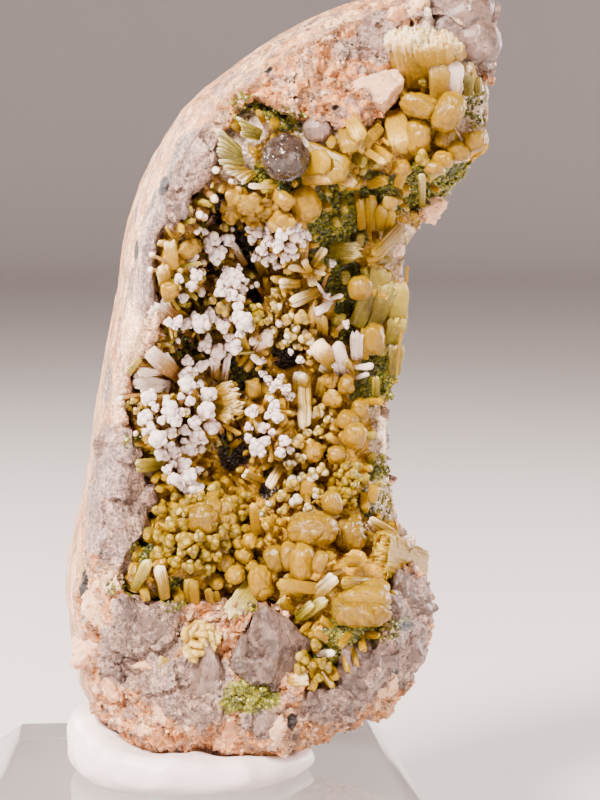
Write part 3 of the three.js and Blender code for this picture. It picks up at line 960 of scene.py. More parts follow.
@dataclass(frozen=True)
class CrustFloorFinish:
    """The floor that the crystals grow from: fine druse, honey-coloured where it is thick.

    It turns olive where the green mineral shows, and is painted nearly black in the deep holes as painted
    shade.
    """

    brown: str = "#54401e"
    honey: str = "#ac8008"
    bright: str = "#d0a024"
    dark_olive: str = "#23270a"
    olive: str = "#50550f"
    # The hole colours are painted shade for the deep holes.
    hole: str = "#1a130b"
    pale_hole_shade: str = "#33260f"
    rock: str = "#a48c74"
    pale_rock: str = "#e6d2b8"
    druse_mm: float = 0.42

    def build(self) -> Material:
        """Makes the material.

        Returns:
            The material.
        """
        material, add = new_material("fine_druse")
        place = add("TexCoord")
        settings = {"Scale": per_mm(self.druse_mm)}
        speck = add("TexVoronoi", settings, {"Vector": place}, "Color")
        pits = add("TexVoronoi", settings, {"Vector": place})
        roll = add("SeparateColor", links={0: speck})
        cloud = add("TexNoise", swells(1.6, 5.0, 0.6), {"Vector": place})
        tint = add("Mix", {6: self.brown, 7: self.honey}, {0: roll})
        for name, low, high, first, second in (
            ("thick", 0.72, 0.98, self.honey, self.bright),
            ("green", 0.62, 0.78, self.dark_olive, self.olive),
            ("rock", 0.62, 0.76, self.rock, self.pale_rock),
            ("hole", 0.62, 0.92, self.hole, self.pale_hole_shade),
        ):
            here = add("Attribute", {"attribute_name": name})
            colour = add("Mix", {6: first, 7: second}, {0: roll})
            spread = add("Math", {1: 0.8}, {0: cloud, 2: here})
            share = add("MapRange", span(low, high), {"Value": spread})
            tint = add("Mix", links={0: share, 6: tint, 7: colour})
        bump = add("Bump", {"Strength": 0.9, "Distance": 0.25 * MM}, {"Height": pits})
        shader = add(
            "BsdfPrincipled", {"Roughness": 0.3} | under_glow(0.3, (1.0, 0.75, 0.3), 1.0),
            {"Base Color": tint, "Normal": bump},
        )
        add("OutputMaterial", links={"Surface": shader})
        return material


@dataclass(frozen=True)
class EpidoteFinish:
    """Tiny epidote crystals: pistachio to olive green, glassy, each grain of another shade."""

    deep: str = "#383a06"
    bright: str = "#8a8414"

    def build(self) -> Material:
        """Makes the material.

        Returns:
            The material.
        """
        material, add = new_material("epidote_druse")
        place = add("TexCoord")
        tone = add("Attribute", {"attribute_name": "tone"})
        cloud = add("TexNoise", swells(0.6, 3.0), {"Vector": place})
        share = add("Math", {1: 0.5}, {0: cloud, 2: tone})
        spread = add("MapRange", span(0.3, 1.2), {"Value": share})
        tint = add("Mix", {6: self.deep, 7: self.bright}, {0: spread})
        settings = {"Roughness": 0.34, "IOR": 1.6, "Subsurface Weight": 0.2, "Subsurface Scale": 0.4 * MM}
        shader = add("BsdfPrincipled", settings, {"Base Color": tint})
        add("OutputMaterial", links={"Surface": shader})
        return material


@dataclass(frozen=True)
class ClearBlock:
    """The display block: square, with its upper edges cut to a slope."""

    side: float = 52.0  # its width
    inset: float = 3.4  # how far the slopes run in
    drop: float = 3.0  # how far they run down
    turn: float = 5.0  # how the block is turned on the table, in degrees
    softened: float = 0.25  # the width of the polished edges

    def build(self) -> None:
        """Models the block from a cube and dresses it."""
        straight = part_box("acrylic_block")[1].z / MM - self.drop
        bpy.ops.object.select_all(action="DESELECT")
        bpy.ops.mesh.primitive_cube_add(size=1, location=(0, 0, 0))
        block = bpy.context.object
        block.name = "clear_block"
        with editing():
            bpy.ops.transform.resize(value=(self.side * MM, self.side * MM, straight * MM))
            bpy.ops.transform.translate(value=(0, 0, straight / 2 * MM))
            bpy.ops.mesh.select_all(action="DESELECT")
        for face in block.data.polygons:
            face.select = face.normal.z > 0.5
        share = 1 - 2 * self.inset / self.side
        turn = -math.radians(self.turn)
        with editing(False):
            bpy.ops.mesh.select_mode(type="FACE")
            bpy.ops.mesh.extrude_region_move(TRANSFORM_OT_translate={"value": (0, 0, self.drop * MM)})
            bpy.ops.transform.resize(value=(share, share, 1))
            bpy.ops.mesh.select_all(action="SELECT")
            bpy.ops.transform.rotate(value=turn, orient_axis="Z", center_override=(0, 0, 0))
        modify(block, "BEVEL", width=self.softened * MM, segments=2, limit_method="ANGLE")
        finish_piece(block, AcrylicFinish().build(), 25, "clear_acrylic", "acrylic_block")


@dataclass(frozen=True)
class PuttyCup:
    """The pressed lump of putty that the stone stands in."""

    voxel: float = 0.4  # the size of its faces
    # The width and the depth of its thumb dents, its folds and its creases.
    dents: tuple[tuple[float, float], ...] = ((6.0, 0.55), (2.6, 0.22), (1.2, 0.06))

    def build(self) -> None:
        """Softens the plain lump and presses dents into it."""
        putty = copied_node("mineral_putty", "putty_cup", self.voxel, 16)
        points = points_of(putty)
        free = smoothstep(0.2, 1.6, points[:, 2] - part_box("mineral_putty")[0].z / MM)
        push = sum(deep * noise_at(points, wide, wide) for wide, deep in self.dents)
        put_points(putty, points + normals_of(putty) * (push * free)[:, None])
        finish_piece(putty, PuttyFinish().build(), 180, "putty", "mineral_putty")


# Patches on the stone: the pixel, the radius and how much longer than wide they are.
PATCHES = {
    Mineral.QUARTZ: (
        # The glassy mass on the left and the streaks of the skin above it.
        (125, 500, 4.6, 1.3), (108, 462, 3, 1), (138, 552, 3.2, 1), (155, 232, 1.3, 3.4),
        (147, 270, 1.4, 2.8), (108, 385, 0.8, 2), (196, 178, 3.4, 1.3), (190, 218, 2.2, 1),
        # The top.
        (462, 26, 5.2, 0.8), (446, 20, 3.6, 0.7), (484, 44, 2.6, 1), (384, 34, 2.2, 1), (354, 48, 1.8, 0.5),
        # The foot.
        (360, 670, 3.4, 1), (408, 652, 3.2, 1), (408, 600, 3, 1), (190, 690, 4, 0.7), (130, 614, 1.7, 1),
        (157, 628, 2.2, 1.5), (124, 655, 2.4, 1.3), (338, 707, 3.4, 0.5), (265, 722, 1.8, 0.8),
        (384, 440, 1.3, 1),
    ),
    Mineral.PINK: (
        (96, 632, 3.6, 1.9), (110, 702, 3.2, 1), (228, 742, 3, 0.8), (275, 740, 2.6, 0.6), (376, 98, 3, 1),
        (300, 84, 3.4, 0.8), (222, 118, 2, 1), (131, 230, 1.4, 3.4), (117, 348, 1.2, 2.8),
        (102, 410, 1.4, 2.4), (84, 540, 1.4, 3), (388, 688, 1.5, 1),
    ),
    Mineral.WHITE: (
        (138, 335, 2.2, 1.9), (122, 404, 1.4, 1.6), (164, 262, 0.9, 3), (470, 113, 2.2, 1),
        (404, 250, 2, 1.5), (112, 574, 1.6, 1),
    ),
    Mineral.GREEN: (
        (250, 696, 2.6, 0.6), (318, 668, 1.2, 1), (352, 628, 2.2, 0.6), (402, 622, 1.6, 0.35),
        (170, 598, 1.6, 0.7), (124, 588, 1.1, 0.7), (244, 106, 1.2, 1), (268, 112, 0.8, 1),
        (450, 44, 1.2, 0.8),
    ),
    Mineral.DARK: (
        (292, 721, 0.45, 1.8), (398, 674, 0.4, 1), (137, 250, 0.35, 3), (134, 208, 0.3, 2),
        (163, 186, 0.45, 2.2), (112, 332, 0.4, 2), (85, 589, 0.6, 3), (268, 70, 0.4, 1), (336, 108, 0.3, 1),
        (408, 626, 1.4, 0.3), (152, 520, 1.2, 2),
    ),
}

# Where the worn skin ends and the break begins, from the foot to the top.
SKIN_EDGE = (
    (78, 712), (79, 600), (86, 545), (98, 450), (114, 400), (142, 340), (152, 290), (158, 240), (168, 192),
    (190, 148), (218, 110), (258, 76), (312, 42), (362, 18), (398, 4),
)


@dataclass(frozen=True)
class GraniteStone:
    """The granite cobble: broken along its grains in front and worn on its skin."""

    voxel: float = 0.54  # the size of its plain faces
    glass: Triple = (4.5, 0.4, 0.3)  # the pitch, the step and the slope of the quartz's shell-shaped break
    cleaved: Triple = (2.3, 0.35, 0.42)  # the same for feldspar
    coarse: Triple = (1.5, 0.26, 0.5)  # the same for the mixed grains
    sugar: Triple = (0.7, 0.1, 0.5)  # the same for their finest grains

    def build(self) -> Piece:
        """Shapes the stone, marks its minerals and dresses it.

        Returns:
            The stone.
        """
        stone = copied_node("granite_matrix", "granite_stone", self.voxel, 8)
        plain = Surface(stone)
        self._refine_front(stone)
        points = points_of(stone)
        normals = normals_of(stone)
        marks = self._marks(points, plain)
        skin = self._skin(points, plain)
        quartz = np.clip(marks[Mineral.QUARTZ] * 1.8, 0, 1)
        pink = np.clip(marks[Mineral.PINK] * 1.8, 0, 1) * (1 - quartz)
        glass, cleaved, coarse, sugar = (
            Grains(pitch, seed).facets(points, step, tilt)
            for seed, (pitch, step, tilt) in enumerate((self.glass, self.cleaved, self.coarse, self.sugar), 3)
        )
        broken = glass * (0.35 + 0.65 * quartz) + cleaved * (0.5 * (1 - quartz) + 0.4 * pink)
        broken += coarse * (1 - 0.8 * quartz) * (1 - 0.5 * pink) + sugar * (1 - 0.9 * quartz)
        worn = 0.25 * noise_at(points, 7.0, 1) + 0.08 * noise_at(points, 1.6, 2)
        worn -= 0.2 * np.clip(noise_at(points * [1, 1, 0.4], 0.9, 3) - 0.25, 0, 1)
        push = np.clip(broken, -1.1, 1.1) * (1 - skin) + worn * skin
        put_points(stone, points + normals * push[:, None])
        for mineral, values in marks.items():
            mark(stone, mineral.value, values)
        mark(stone, "skin", skin)
        finish_piece(stone, GraniteFinish().build(), 26, "granite", "granite_matrix")
        return stone

    def _refine_front(self, stone: Piece) -> None:
        """Halves the open faces that look towards the front, which hold the broken grains.

        Args:
            stone: The stone.
        """
        crust = Surface(frame["nodes"]["zeolite_crust"])
        deep = 12.0
        select_only(stone)
        for face in stone.data.polygons:
            open_face = crust.depth_behind(face.center / MM, FORWARD, deep) >= deep
            face.select = face.normal.y < -0.05 and face.normal.x > -0.75 and open_face
        with editing(False):
            bpy.ops.mesh.select_mode(type="FACE")
            bpy.ops.mesh.subdivide(number_cuts=1)

    def _marks(self, points: Array, plain: Surface) -> dict[Mineral, Array]:
        """Works out how much of each mineral there is at each vertex.

        Args:
            points: The vertices.
            plain: The stone before its relief, which the patches are carried onto.

        Returns:
            The marks from 0 to 1 for each mineral.
        """
        marks = {}
        for mineral, patches in PATCHES.items():
            marks[mineral] = np.zeros(len(points))
            for x, y, radius, stretch in patches:
                away = points - np.array(plain.under((x, y))[0])
                away[:, 2] /= stretch
                share = 1 - np.linalg.norm(away, axis=1) / (2 * radius)
                marks[mineral] = np.maximum(marks[mineral], share)
        return marks

    def _skin(self, points: Array, plain: Surface) -> Array:
        """Gives 1 on the worn skin and 0 on the break.

        Args:
            points: The vertices.
            plain: The stone before its relief.

        Returns:
            One value for each vertex.
        """
        edge = np.array([plain.under(pixel)[0] for pixel in SKIN_EDGE])
        border = np.interp(points[:, 2], edge[:, 2], edge[:, 0]) + 1.2 * noise_at(points, 3.5, 8)
        right_back = 4.5 + 1.5 * noise_at(points, 4.0, 9)
        front = smoothstep(-0.7, 0.7, points[:, 0] - border)
        side = 1 - smoothstep(-0.8, 0.8, points[:, 1] - right_back)
        under = smoothstep(22.0, 19.0, points[:, 2])
        return 1 - np.maximum(front * side, under * 0.6)


@dataclass(frozen=True)
class Shape:
    """A small crystal form, modelled once."""

    points: Array  # its vertices, a row each
    faces: tuple[tuple[int, ...], ...]  # its faces

    def varied(self, seed: int, amount: float) -> "Shape":
        """Gives the same form with its vertices moved a little."""
        jitter = np.random.default_rng(seed).uniform(-amount, amount, self.points.shape)
        return Shape(self.points + jitter, self.faces)

    def boxy(self, power: float) -> "Shape":
        """Gives the same form with its round sides pressed towards a box."""
        return Shape(np.sign(self.points) * np.abs(self.points) ** power, self.faces)

    def drawn_out(self, share: float) -> "Shape":
        """Gives the same form with its lower half drawn out to a stem.

        Args:
            share: How many times as long the lower half becomes.

        Returns:
            The new form.
        """
        points = self.points.copy()
        low = np.minimum(points[:, 2], 0)
        round_here = np.maximum(np.hypot(points[:, 0], points[:, 1]), 1e-6)
        wide = np.where(low < 0, (0.75 + 0.25 * round_here) / round_here, 1)
        wide = np.where(round_here > 0.05, np.minimum(wide, 4), 1)
        points[:, :2] *= wide[:, None]
        points[:, 2] += low * (share - 1)
        return Shape(points, self.faces)

    def crumbled(self, sizes: Triple, pitch: float, depth: float, seed: int) -> tuple["Shape", Array]:
        """Presses rounded lobes into a body of radius about 1.

        Args:
            sizes: Its real half sizes.
            pitch: The width of a lobe.
            depth: How far the lobes stand out.
            seed: Picks another set.

        Returns:
            The new body, still of radius about 1, and how far each vertex lies in a dent.
        """
        half = np.array(sizes)
        real = self.points * half
        _, _, border = Grains(pitch, seed).split(real + 3.1 * (seed % 17))
        low = 1 - np.clip(border / (0.55 * pitch), 0, 1)
        swell = depth * (0.35 - low**1.5) + 0.5 * depth * noise_at(real, 1.3 * pitch, seed % 40)
        swell += 0.07 * noise_at(real, 0.55, 4 + seed % 9)
        return Shape(self.points * (1 + swell / half.min())[:, None], self.faces), low

    def fibrous(self, sizes: Triple, ridge: float, ragged: float, roll: float) -> "Shape":
        """Gives a rod the long ridges of its fibres and an uneven end.

        Args:
            sizes: Its real half width, half thickness and length.
            ridge: How far the ridges stand out.
            ragged: How far the fibres' ends differ.
            roll: Picks another set, from 0 to 1.

        Returns:
            The new rod.
        """
        real = self.points * sizes + 5.0 * roll
        fibre = noise_at(real * (1, 1, 0.07), 0.42, 3) * ridge + noise_at(real, 1.1, 7) * 0.09
        fibre += noise_at(real * (1, 1, 0.07), 0.22, 9) * 0.5 * ridge
        thick = np.stack([1 + fibre / sizes[0], 1 + fibre / sizes[1], np.ones(len(fibre))], 1)
        points = self.points * thick
        end = smoothstep(0.55, 1.0, self.points[:, 2]) * ragged / sizes[2]
        points[:, 2] += end * (noise_at(real * (1, 0.5, 0), 0.3, 5) - 0.5)
        return Shape(points, self.faces)


class ShapeShop:
    """Models the small forms with Blender's own tools."""

    def take(self) -> Shape:
        """Turns the active piece to a shape and removes it.

        Returns:
            The shape.
        """
        piece = bpy.context.object
        shape = Shape(points_of(piece) * MM, tuple(tuple(face.vertices) for face in piece.data.polygons))
        bpy.data.objects.remove(piece)
        return shape

    def ball(self, rounds: int) -> Shape:
        """Models a round body.

        Args:
            rounds: How many times it is divided.

        Returns:
            The body, of radius 1.
        """
        bpy.ops.object.select_all(action="DESELECT")
        bpy.ops.mesh.primitive_ico_sphere_add(subdivisions=rounds, radius=1)
        return self.take()

    def rod(self, cuts: int) -> Shape:
        """Models a bar with rounded flanks and a blunt, pinched end.

        Args:
            cuts: How finely the bar is divided.

        Returns:
            The bar, which stands on its root and is one unit tall.
        """
        bpy.ops.object.select_all(action="DESELECT")
        bpy.ops.mesh.primitive_cube_add(size=2)
        with editing():
            bpy.ops.mesh.subdivide(number_cuts=cuts)
        cube = self.take()
        u, v, w = cube.points.T
        squareness = 4.0
        square = np.maximum(np.abs(u), np.abs(v))
        rounded = (np.abs(u) ** squareness + np.abs(v) ** squareness) ** (1 / squareness)
        end = np.clip((w - 0.45) / 0.55, 0, 1)
        share = square / np.maximum(rounded, 1e-6) * (1 - 0.24 * end**3) * (0.84 + 0.08 * (w + 1))
        z = w - np.where(w > 0.99, 0.12 * (u * u + v * v), 0)
        z = (z - z.min()) / (z.max() - z.min())
        return Shape(np.stack([u * share, v * share, z], 1), cube.faces)

    def chip(self, seed: int, fine: float) -> Shape:
        """Models a broken grain by cutting a cube with slanting planes.

        Args:
            seed: Picks other planes.
            fine: The size of its faces.

        Returns:
            The grain, a little under one unit from its middle to a face.
        """
        roll = random.Random(seed)
        bpy.ops.object.select_all(action="DESELECT")
        bpy.ops.mesh.primitive_cube_add(size=2)
        cuts = 9
        with editing():
            for _ in range(cuts):
                way = Vector([roll.uniform(-1, 1) for _ in range(3)]).normalized()
                cut = way * roll.uniform(0.62, 0.88)
                bpy.ops.mesh.select_all(action="SELECT")
                bpy.ops.mesh.bisect(plane_co=cut, plane_no=way, use_fill=True, clear_outer=True)
        modify(bpy.context.object, "REMESH", mode="VOXEL", voxel_size=fine)
        return self.take()


class Form(Enum):
    """The forms that crystals have: a bundle of bars, one flat blade, or one stout bar."""

    PRISM = "prism"
    BLADE = "blade"
    NUB = "nub"


class Kind(Enum):
    """The kinds of zeolite, each with a finish and a joined piece of its own."""

    WHITE = "white_beads"
    CREAM = "cream_crystals"
    HONEY = "honey_crystals"
    OLIVE = "olive_blades"


# The kinds and the forms by their first letters, as the tables give them.
W, C, H, O = Kind
P, B, N = Form

FINISHES = {
    W: ZeoliteFinish("coated_zeolite", "#8a6024", "#c8a468", "#ffe9d9", 1.0, 0.4, 0.4, 0.0, 0.14),
    C: ZeoliteFinish("cream_zeolite", "#9c7812", "#c4a03a", "#f8e2bc", 0.48, 0.18, 0.6, 0.15, 0.1, 1.4),
    H: ZeoliteFinish("honey_zeolite", "#9c7602", "#aa8800", "#ecd074", 0.3, 0.14, 0.6, 0.25, 0.1, 1.6),
    O: ZeoliteFinish("olive_zeolite", "#7a6c0c", "#b3a03c", "#f4e8bc", 0.4, 0.15, 0.6, 0.2, 0.12, 1.4),
}


@dataclass
class JoinedPiece:
    """Many small crystals of one finish, gathered as arrays and written as one mesh."""

    name: str  # the piece's name
    slot: str = "zeolite"  # the record's material slot
    points: list[Array] = field(default_factory=list)
    faces: list[tuple[int, ...]] = field(default_factory=list)
    marks: dict[str, list[Array]] = field(default_factory=lambda: {name: [] for name in MARKS})
    count: int = 0  # the vertices so far

    def add(
        self, shape: Shape, turn: Array, at: Vector, tone: float, coat: float,
        tips: tuple[float, float] = (0.0, 1.0), dent: Array | float = 0.0,
    ) -> None:
        """Adds one crystal.

        Args:
            shape: Its form.
            turn: Three columns that carry the form's axes to millimetres in the frame.
            at: Where the form's origin goes.
            tone: Its shade, from 0 to 1.
            coat: How much white coat it wears, from 0 to 1.
            tips: How near to a tip its lowest and highest ends count.
            dent: How far each vertex lies in a dent, from 0 to 1, which the finish paints darker as painted
                shade.
        """
        size = len(shape.points)
        z = shape.points[:, 2]
        share = (z - z.min()) / (z.max() - z.min())
        self.points.append(shape.points @ turn.T + np.array(at))
        self.faces.extend(tuple(self.count + v for v in face) for face in shape.faces)
        across = shape.points[:, 0] * np.linalg.norm(turn[:, 0]) + 37.0 * tone
        values = (tips[0] + (tips[1] - tips[0]) * share, tone, coat, across, dent)
        for name, value in zip(MARKS, values):
            self.marks[name].append(np.broadcast_to(value, size))
        self.count += size

    def build(self, material: Material, sharp: float, rough: float, *nodes: str) -> None:
        """Writes the mesh and dresses it.

        Args:
            material: Its finish.
            sharp: Faces that meet at more than this, in degrees, keep an edge.
            rough: How far its points are moved at random.
            nodes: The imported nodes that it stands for.
        """
        points = np.concatenate(self.points)
        if rough:
            sway = [noise_at(points, 0.9, seed) for seed in (11, 12, 13)]
            points = points + rough * np.stack(sway, 1)
        mesh = bpy.data.meshes.new(self.name)
        mesh.from_pydata([tuple(p) for p in points * MM], [], self.faces)
        mesh.validate()
        piece = new_object(self.name, mesh)
        for name, values in self.marks.items():
            mark(piece, name, np.concatenate(values))
        finish_piece(piece, material, sharp, self.slot, *nodes)


@dataclass(frozen=True)
class Prism:
    """A long crystal, by where its root and its tip show in the photograph."""

    root: Pixel  # the root's pixel
    tip: Pixel  # the tip's pixel
    wide: float  # its width
    rise: float  # how far its tip comes forward of its root
    kind: Kind  # its zeolite
    form: Form = Form.PRISM  # its form
    coat: float = 0.5  # how much white coat it wears
    flat: float = 0.75  # its thickness as a share of its width


@dataclass(frozen=True)
class Egg:
    """A swollen crystal or aggregate, by where it shows in the photograph."""

    at: Pixel  # its middle
    wide: float  # its width
    tall: float  # its height
    lean: float  # how far its height leans to the right, in degrees
    rise: float  # how far its middle stands before the crust
    kind: Kind  # its zeolite
    lobes: float = 0.5  # how lumpy it is, from 0 to 1
    coat: float = 0.15  # how much white coat it wears


@dataclass(frozen=True)
class Head:
    """The round end of a crystal."""

    middle: Vector  # its middle
    root: Vector  # where its stalk or its bar starts
    radius: float  # its radius
    coat: float  # how much white coat it wears


@dataclass(frozen=True)
class Bunch:
    """Round heads on stalks that spread from one heart."""

    at: Pixel  # its middle in the photograph
    kind: Kind  # its zeolite
    dome: float  # how far the middle of the bunch stands before its edge
    rise: float  # how far its edge stands before the crust
    coat: float  # how much white coat the heads wear
    heads: tuple[Triple, ...]  # the pixel and the radius of each head


BUNCHES = (
    # The large white bunch and the lower one.
    Bunch((182, 420), W, 1.8, 1.2, 1.0, (
        (188, 386, 1.05), (208, 396, 1.1), (206, 411, 1.2), (212, 427, 1), (194, 423, 0.8), (184, 430, 0.7),
        (170, 409, 1.1), (174, 420, 0.85), (150, 398, 1), (146, 418, 1.05), (156, 408, 0.5),
        (158, 439, 1.15), (170, 446, 0.6), (161, 454, 0.75), (175, 452, 0.75), (171, 432, 0.7),
        (196, 436, 1), (190, 448, 1), (184, 441, 0.45), (181, 397, 0.5), (190, 401, 0.65), (162, 420, 0.55),
        (166, 399, 0.5), (200, 384, 0.55), (152, 428, 0.6), (203, 440, 0.6), (180, 412, 0.55),
        (146, 432, 0.55), (166, 455, 0.45),
    )),
    Bunch((182, 474), W, 1.0, 1.2, 0.9, (
        (167, 470, 0.6), (183, 465, 1.15), (189, 476, 1), (176, 479, 0.75), (181, 485, 0.6),
        (195, 489, 1.1), (173, 464, 0.5), (170, 480, 0.5), (199, 470, 0.5), (186, 490, 0.55),
    )),
    # The upper pocket.
    Bunch((215, 243), W, 0.8, 1.8, 0.9, (
        (212, 240, 0.95), (228, 240, 0.8), (216, 255, 1.1), (208, 248, 0.55), (223, 250, 0.5),
        (205, 232, 0.5),
    )),
    Bunch((224, 228), C, 0.4, 1.4, 0.2, ((224, 227, 0.6), (229, 222, 0.45))),
    Bunch((231, 281), W, 1.2, 2.2, 0.85, (
        (232, 273, 0.75), (224, 277, 0.65), (240, 277, 0.65), (236, 284, 0.6), (227, 285, 0.6),
        (220, 291, 0.8), (233, 296, 0.8), (243, 289, 0.6), (226, 269, 0.5), (239, 268, 0.5),
        (220, 283, 0.5), (246, 282, 0.45), (232, 281, 0.6), (228, 293, 0.5),
    )),
    Bunch((192, 322), W, 0.6, 2.4, 0.95, (
        (169, 323, 0.6), (178, 321, 0.7), (189, 322, 0.75), (200, 323, 1.15), (210, 313, 0.7),
        (213, 319, 0.5), (184, 326, 0.55), (194, 315, 0.5), (207, 327, 0.5), (174, 326, 0.5),
    )),
    Bunch((240, 325), W, 1.0, 2.2, 0.9, (
        (243, 320, 1.2), (238, 307, 0.7), (223, 325, 0.95), (234, 346, 1.05), (249, 328, 0.6),
        (229, 337, 0.65), (240, 333, 0.6), (236, 314, 0.5),
    )),
    Bunch((255, 315), H, 0.4, 1.8, 0.45, (
        (255, 308, 0.7), (258, 316, 0.75), (252, 323, 0.65), (262, 322, 0.5),
    )),
    Bunch((224, 307), C, 0.4, 1.0, 0.2, ((224, 308, 1.0), (213, 300, 0.6))),
    Bunch((204, 360), W, 0.8, 1.8, 0.85, (
        (206, 346, 0.9), (218, 352, 1), (202, 366, 0.8), (188, 361, 0.7), (187, 374, 0.95),
        (212, 362, 0.55), (195, 371, 0.55), (208, 338, 0.5),
    )),
    Bunch((186, 283), W, 0.5, 1.6, 0.75, (
        (192, 264, 0.75), (179, 279, 0.6), (184, 298, 0.65), (196, 276, 0.9), (192, 286, 0.7),
    )),
    # White lumps under the overhang.
    Bunch((272, 238), W, 1.4, 1.6, 0.8, (
        (259, 232, 0.85), (270, 228, 0.75), (281, 236, 0.8), (296, 237, 0.95), (268, 241, 0.8),
        (278, 247, 0.75), (290, 248, 0.75), (262, 250, 0.7), (285, 258, 0.65), (272, 258, 0.7),
        (297, 228, 0.65), (303, 244, 0.5), (252, 240, 0.6), (288, 230, 0.6), (265, 262, 0.55),
        (276, 266, 0.55), (256, 258, 0.55), (304, 233, 0.55), (294, 256, 0.5), (250, 229, 0.6),
    )),
    # The middle.
    Bunch((290, 330), C, 0.8, 1.0, 0.55, (
        (275, 294, 0.6), (276, 307, 0.7), (288, 319, 0.75), (302, 318, 0.95), (306, 338, 0.9),
        (290, 335, 0.85), (266, 338, 1), (272, 330, 0.6), (296, 328, 0.6), (282, 345, 0.6),
        (298, 346, 0.55), (268, 321, 0.55),
    )),
    Bunch((295, 356), W, 0.2, 1.6, 0.95, (
        (291, 352, 0.4), (300, 360, 0.55), (262, 361, 0.55), (310, 352, 0.4), (335, 365, 0.4),
        (327, 296, 0.45), (319, 311, 0.6), (346, 324, 0.55), (308, 237, 0.5), (332, 263, 0.5),
    )),
    Bunch((266, 424), W, 1.0, 1.3, 0.85, (
        (252, 411, 0.8), (275, 407, 0.85), (277, 417, 0.8), (263, 427, 0.75), (249, 427, 0.55),
        (256, 446, 1), (249, 438, 0.65), (266, 440, 0.65), (285, 441, 0.7), (280, 453, 0.75),
        (262, 453, 0.6), (270, 399, 0.5), (268, 415, 0.55), (272, 433, 0.5), (290, 450, 0.5),
    )),
    Bunch((276, 386), W, 0.8, 1.5, 0.6, (
        (268, 380, 0.6), (277, 384, 0.7), (285, 389, 0.7), (290, 396, 0.6), (272, 390, 0.55),
        (263, 374, 0.5), (281, 378, 0.5),
    )),
    # The honey bunch and the heads beside it.
    Bunch((205, 528), H, 2.4, 0.6, 0.3, (
        (161, 511, 0.9), (177, 511, 0.95), (187, 513, 0.75), (229, 516, 0.85), (234, 503, 1),
        (246, 497, 0.8), (214, 491, 1.05), (159, 537, 0.8), (169, 541, 0.85), (185, 540, 1.05),
        (169, 551, 0.75), (193, 552, 0.75), (213, 542, 1), (200, 537, 0.8), (222, 530, 0.85),
        (235, 533, 0.9), (205, 556, 0.75), (189, 567, 0.8), (209, 569, 0.8), (175, 561, 0.85),
        (158, 553, 0.95), (170, 523, 0.8), (183, 526, 0.85), (222, 505, 0.8), (200, 497, 0.8),
        (190, 500, 0.7), (152, 524, 0.7), (176, 497, 0.65), (226, 545, 0.7), (216, 556, 0.7),
        (198, 565, 0.6), (182, 552, 0.65), (242, 516, 0.7), (212, 524, 0.6),
    )),
    Bunch((240, 556), H, 0.8, 0.7, 0.12, (
        (225, 563, 1.1), (244, 555, 1.15), (235, 574, 1.2), (250, 541, 0.9), (238, 543, 0.8),
        (216, 583, 0.9), (252, 566, 0.8),
    )),
    # The middle right and the right wall.
    Bunch((305, 460), C, 0.8, 1.0, 0.5, (
        (297, 441, 0.9), (306, 434, 0.7), (318, 431, 0.65), (313, 475, 0.95), (322, 470, 0.8),
        (293, 484, 1), (303, 478, 0.7), (297, 502, 0.9), (283, 497, 0.8), (270, 505, 0.7), (316, 413, 0.9),
        (306, 420, 0.6), (328, 420, 0.6), (290, 465, 0.7), (301, 458, 0.7), (308, 509, 0.7),
        (318, 493, 0.7), (283, 512, 0.7), (262, 512, 0.6),
    )),
    Bunch((350, 480), H, 0.5, 0.8, 0.2, (
        (346, 466, 0.7), (352, 474, 0.75), (345, 482, 0.7), (355, 486, 0.65), (349, 493, 0.8),
        (357, 466, 0.6), (340, 474, 0.6), (342, 490, 0.6), (358, 478, 0.55), (352, 502, 0.7),
        (345, 458, 0.6),
    )),
    # The top right, the left rim and the foot.
    Bunch((423, 120), H, 0.0, 1.4, 0.25, (
        (423, 83, 0.6), (422, 158, 0.95), (484, 157, 0.8), (396, 381, 0.4),
    )),
    Bunch((132, 408), C, 0.2, 0.6, 0.3, (
        (128, 406, 0.55), (136, 411, 0.5), (133, 401, 0.45), (140, 405, 0.4),
    )),
    Bunch((318, 662), H, 0.6, 0.5, 0.2, (
        (303, 657, 0.9), (300, 669, 0.7), (311, 665, 0.7), (322, 663, 0.7), (316, 645, 0.7),
        (328, 668, 0.6), (306, 647, 0.6), (318, 678, 0.6),
    )),
)

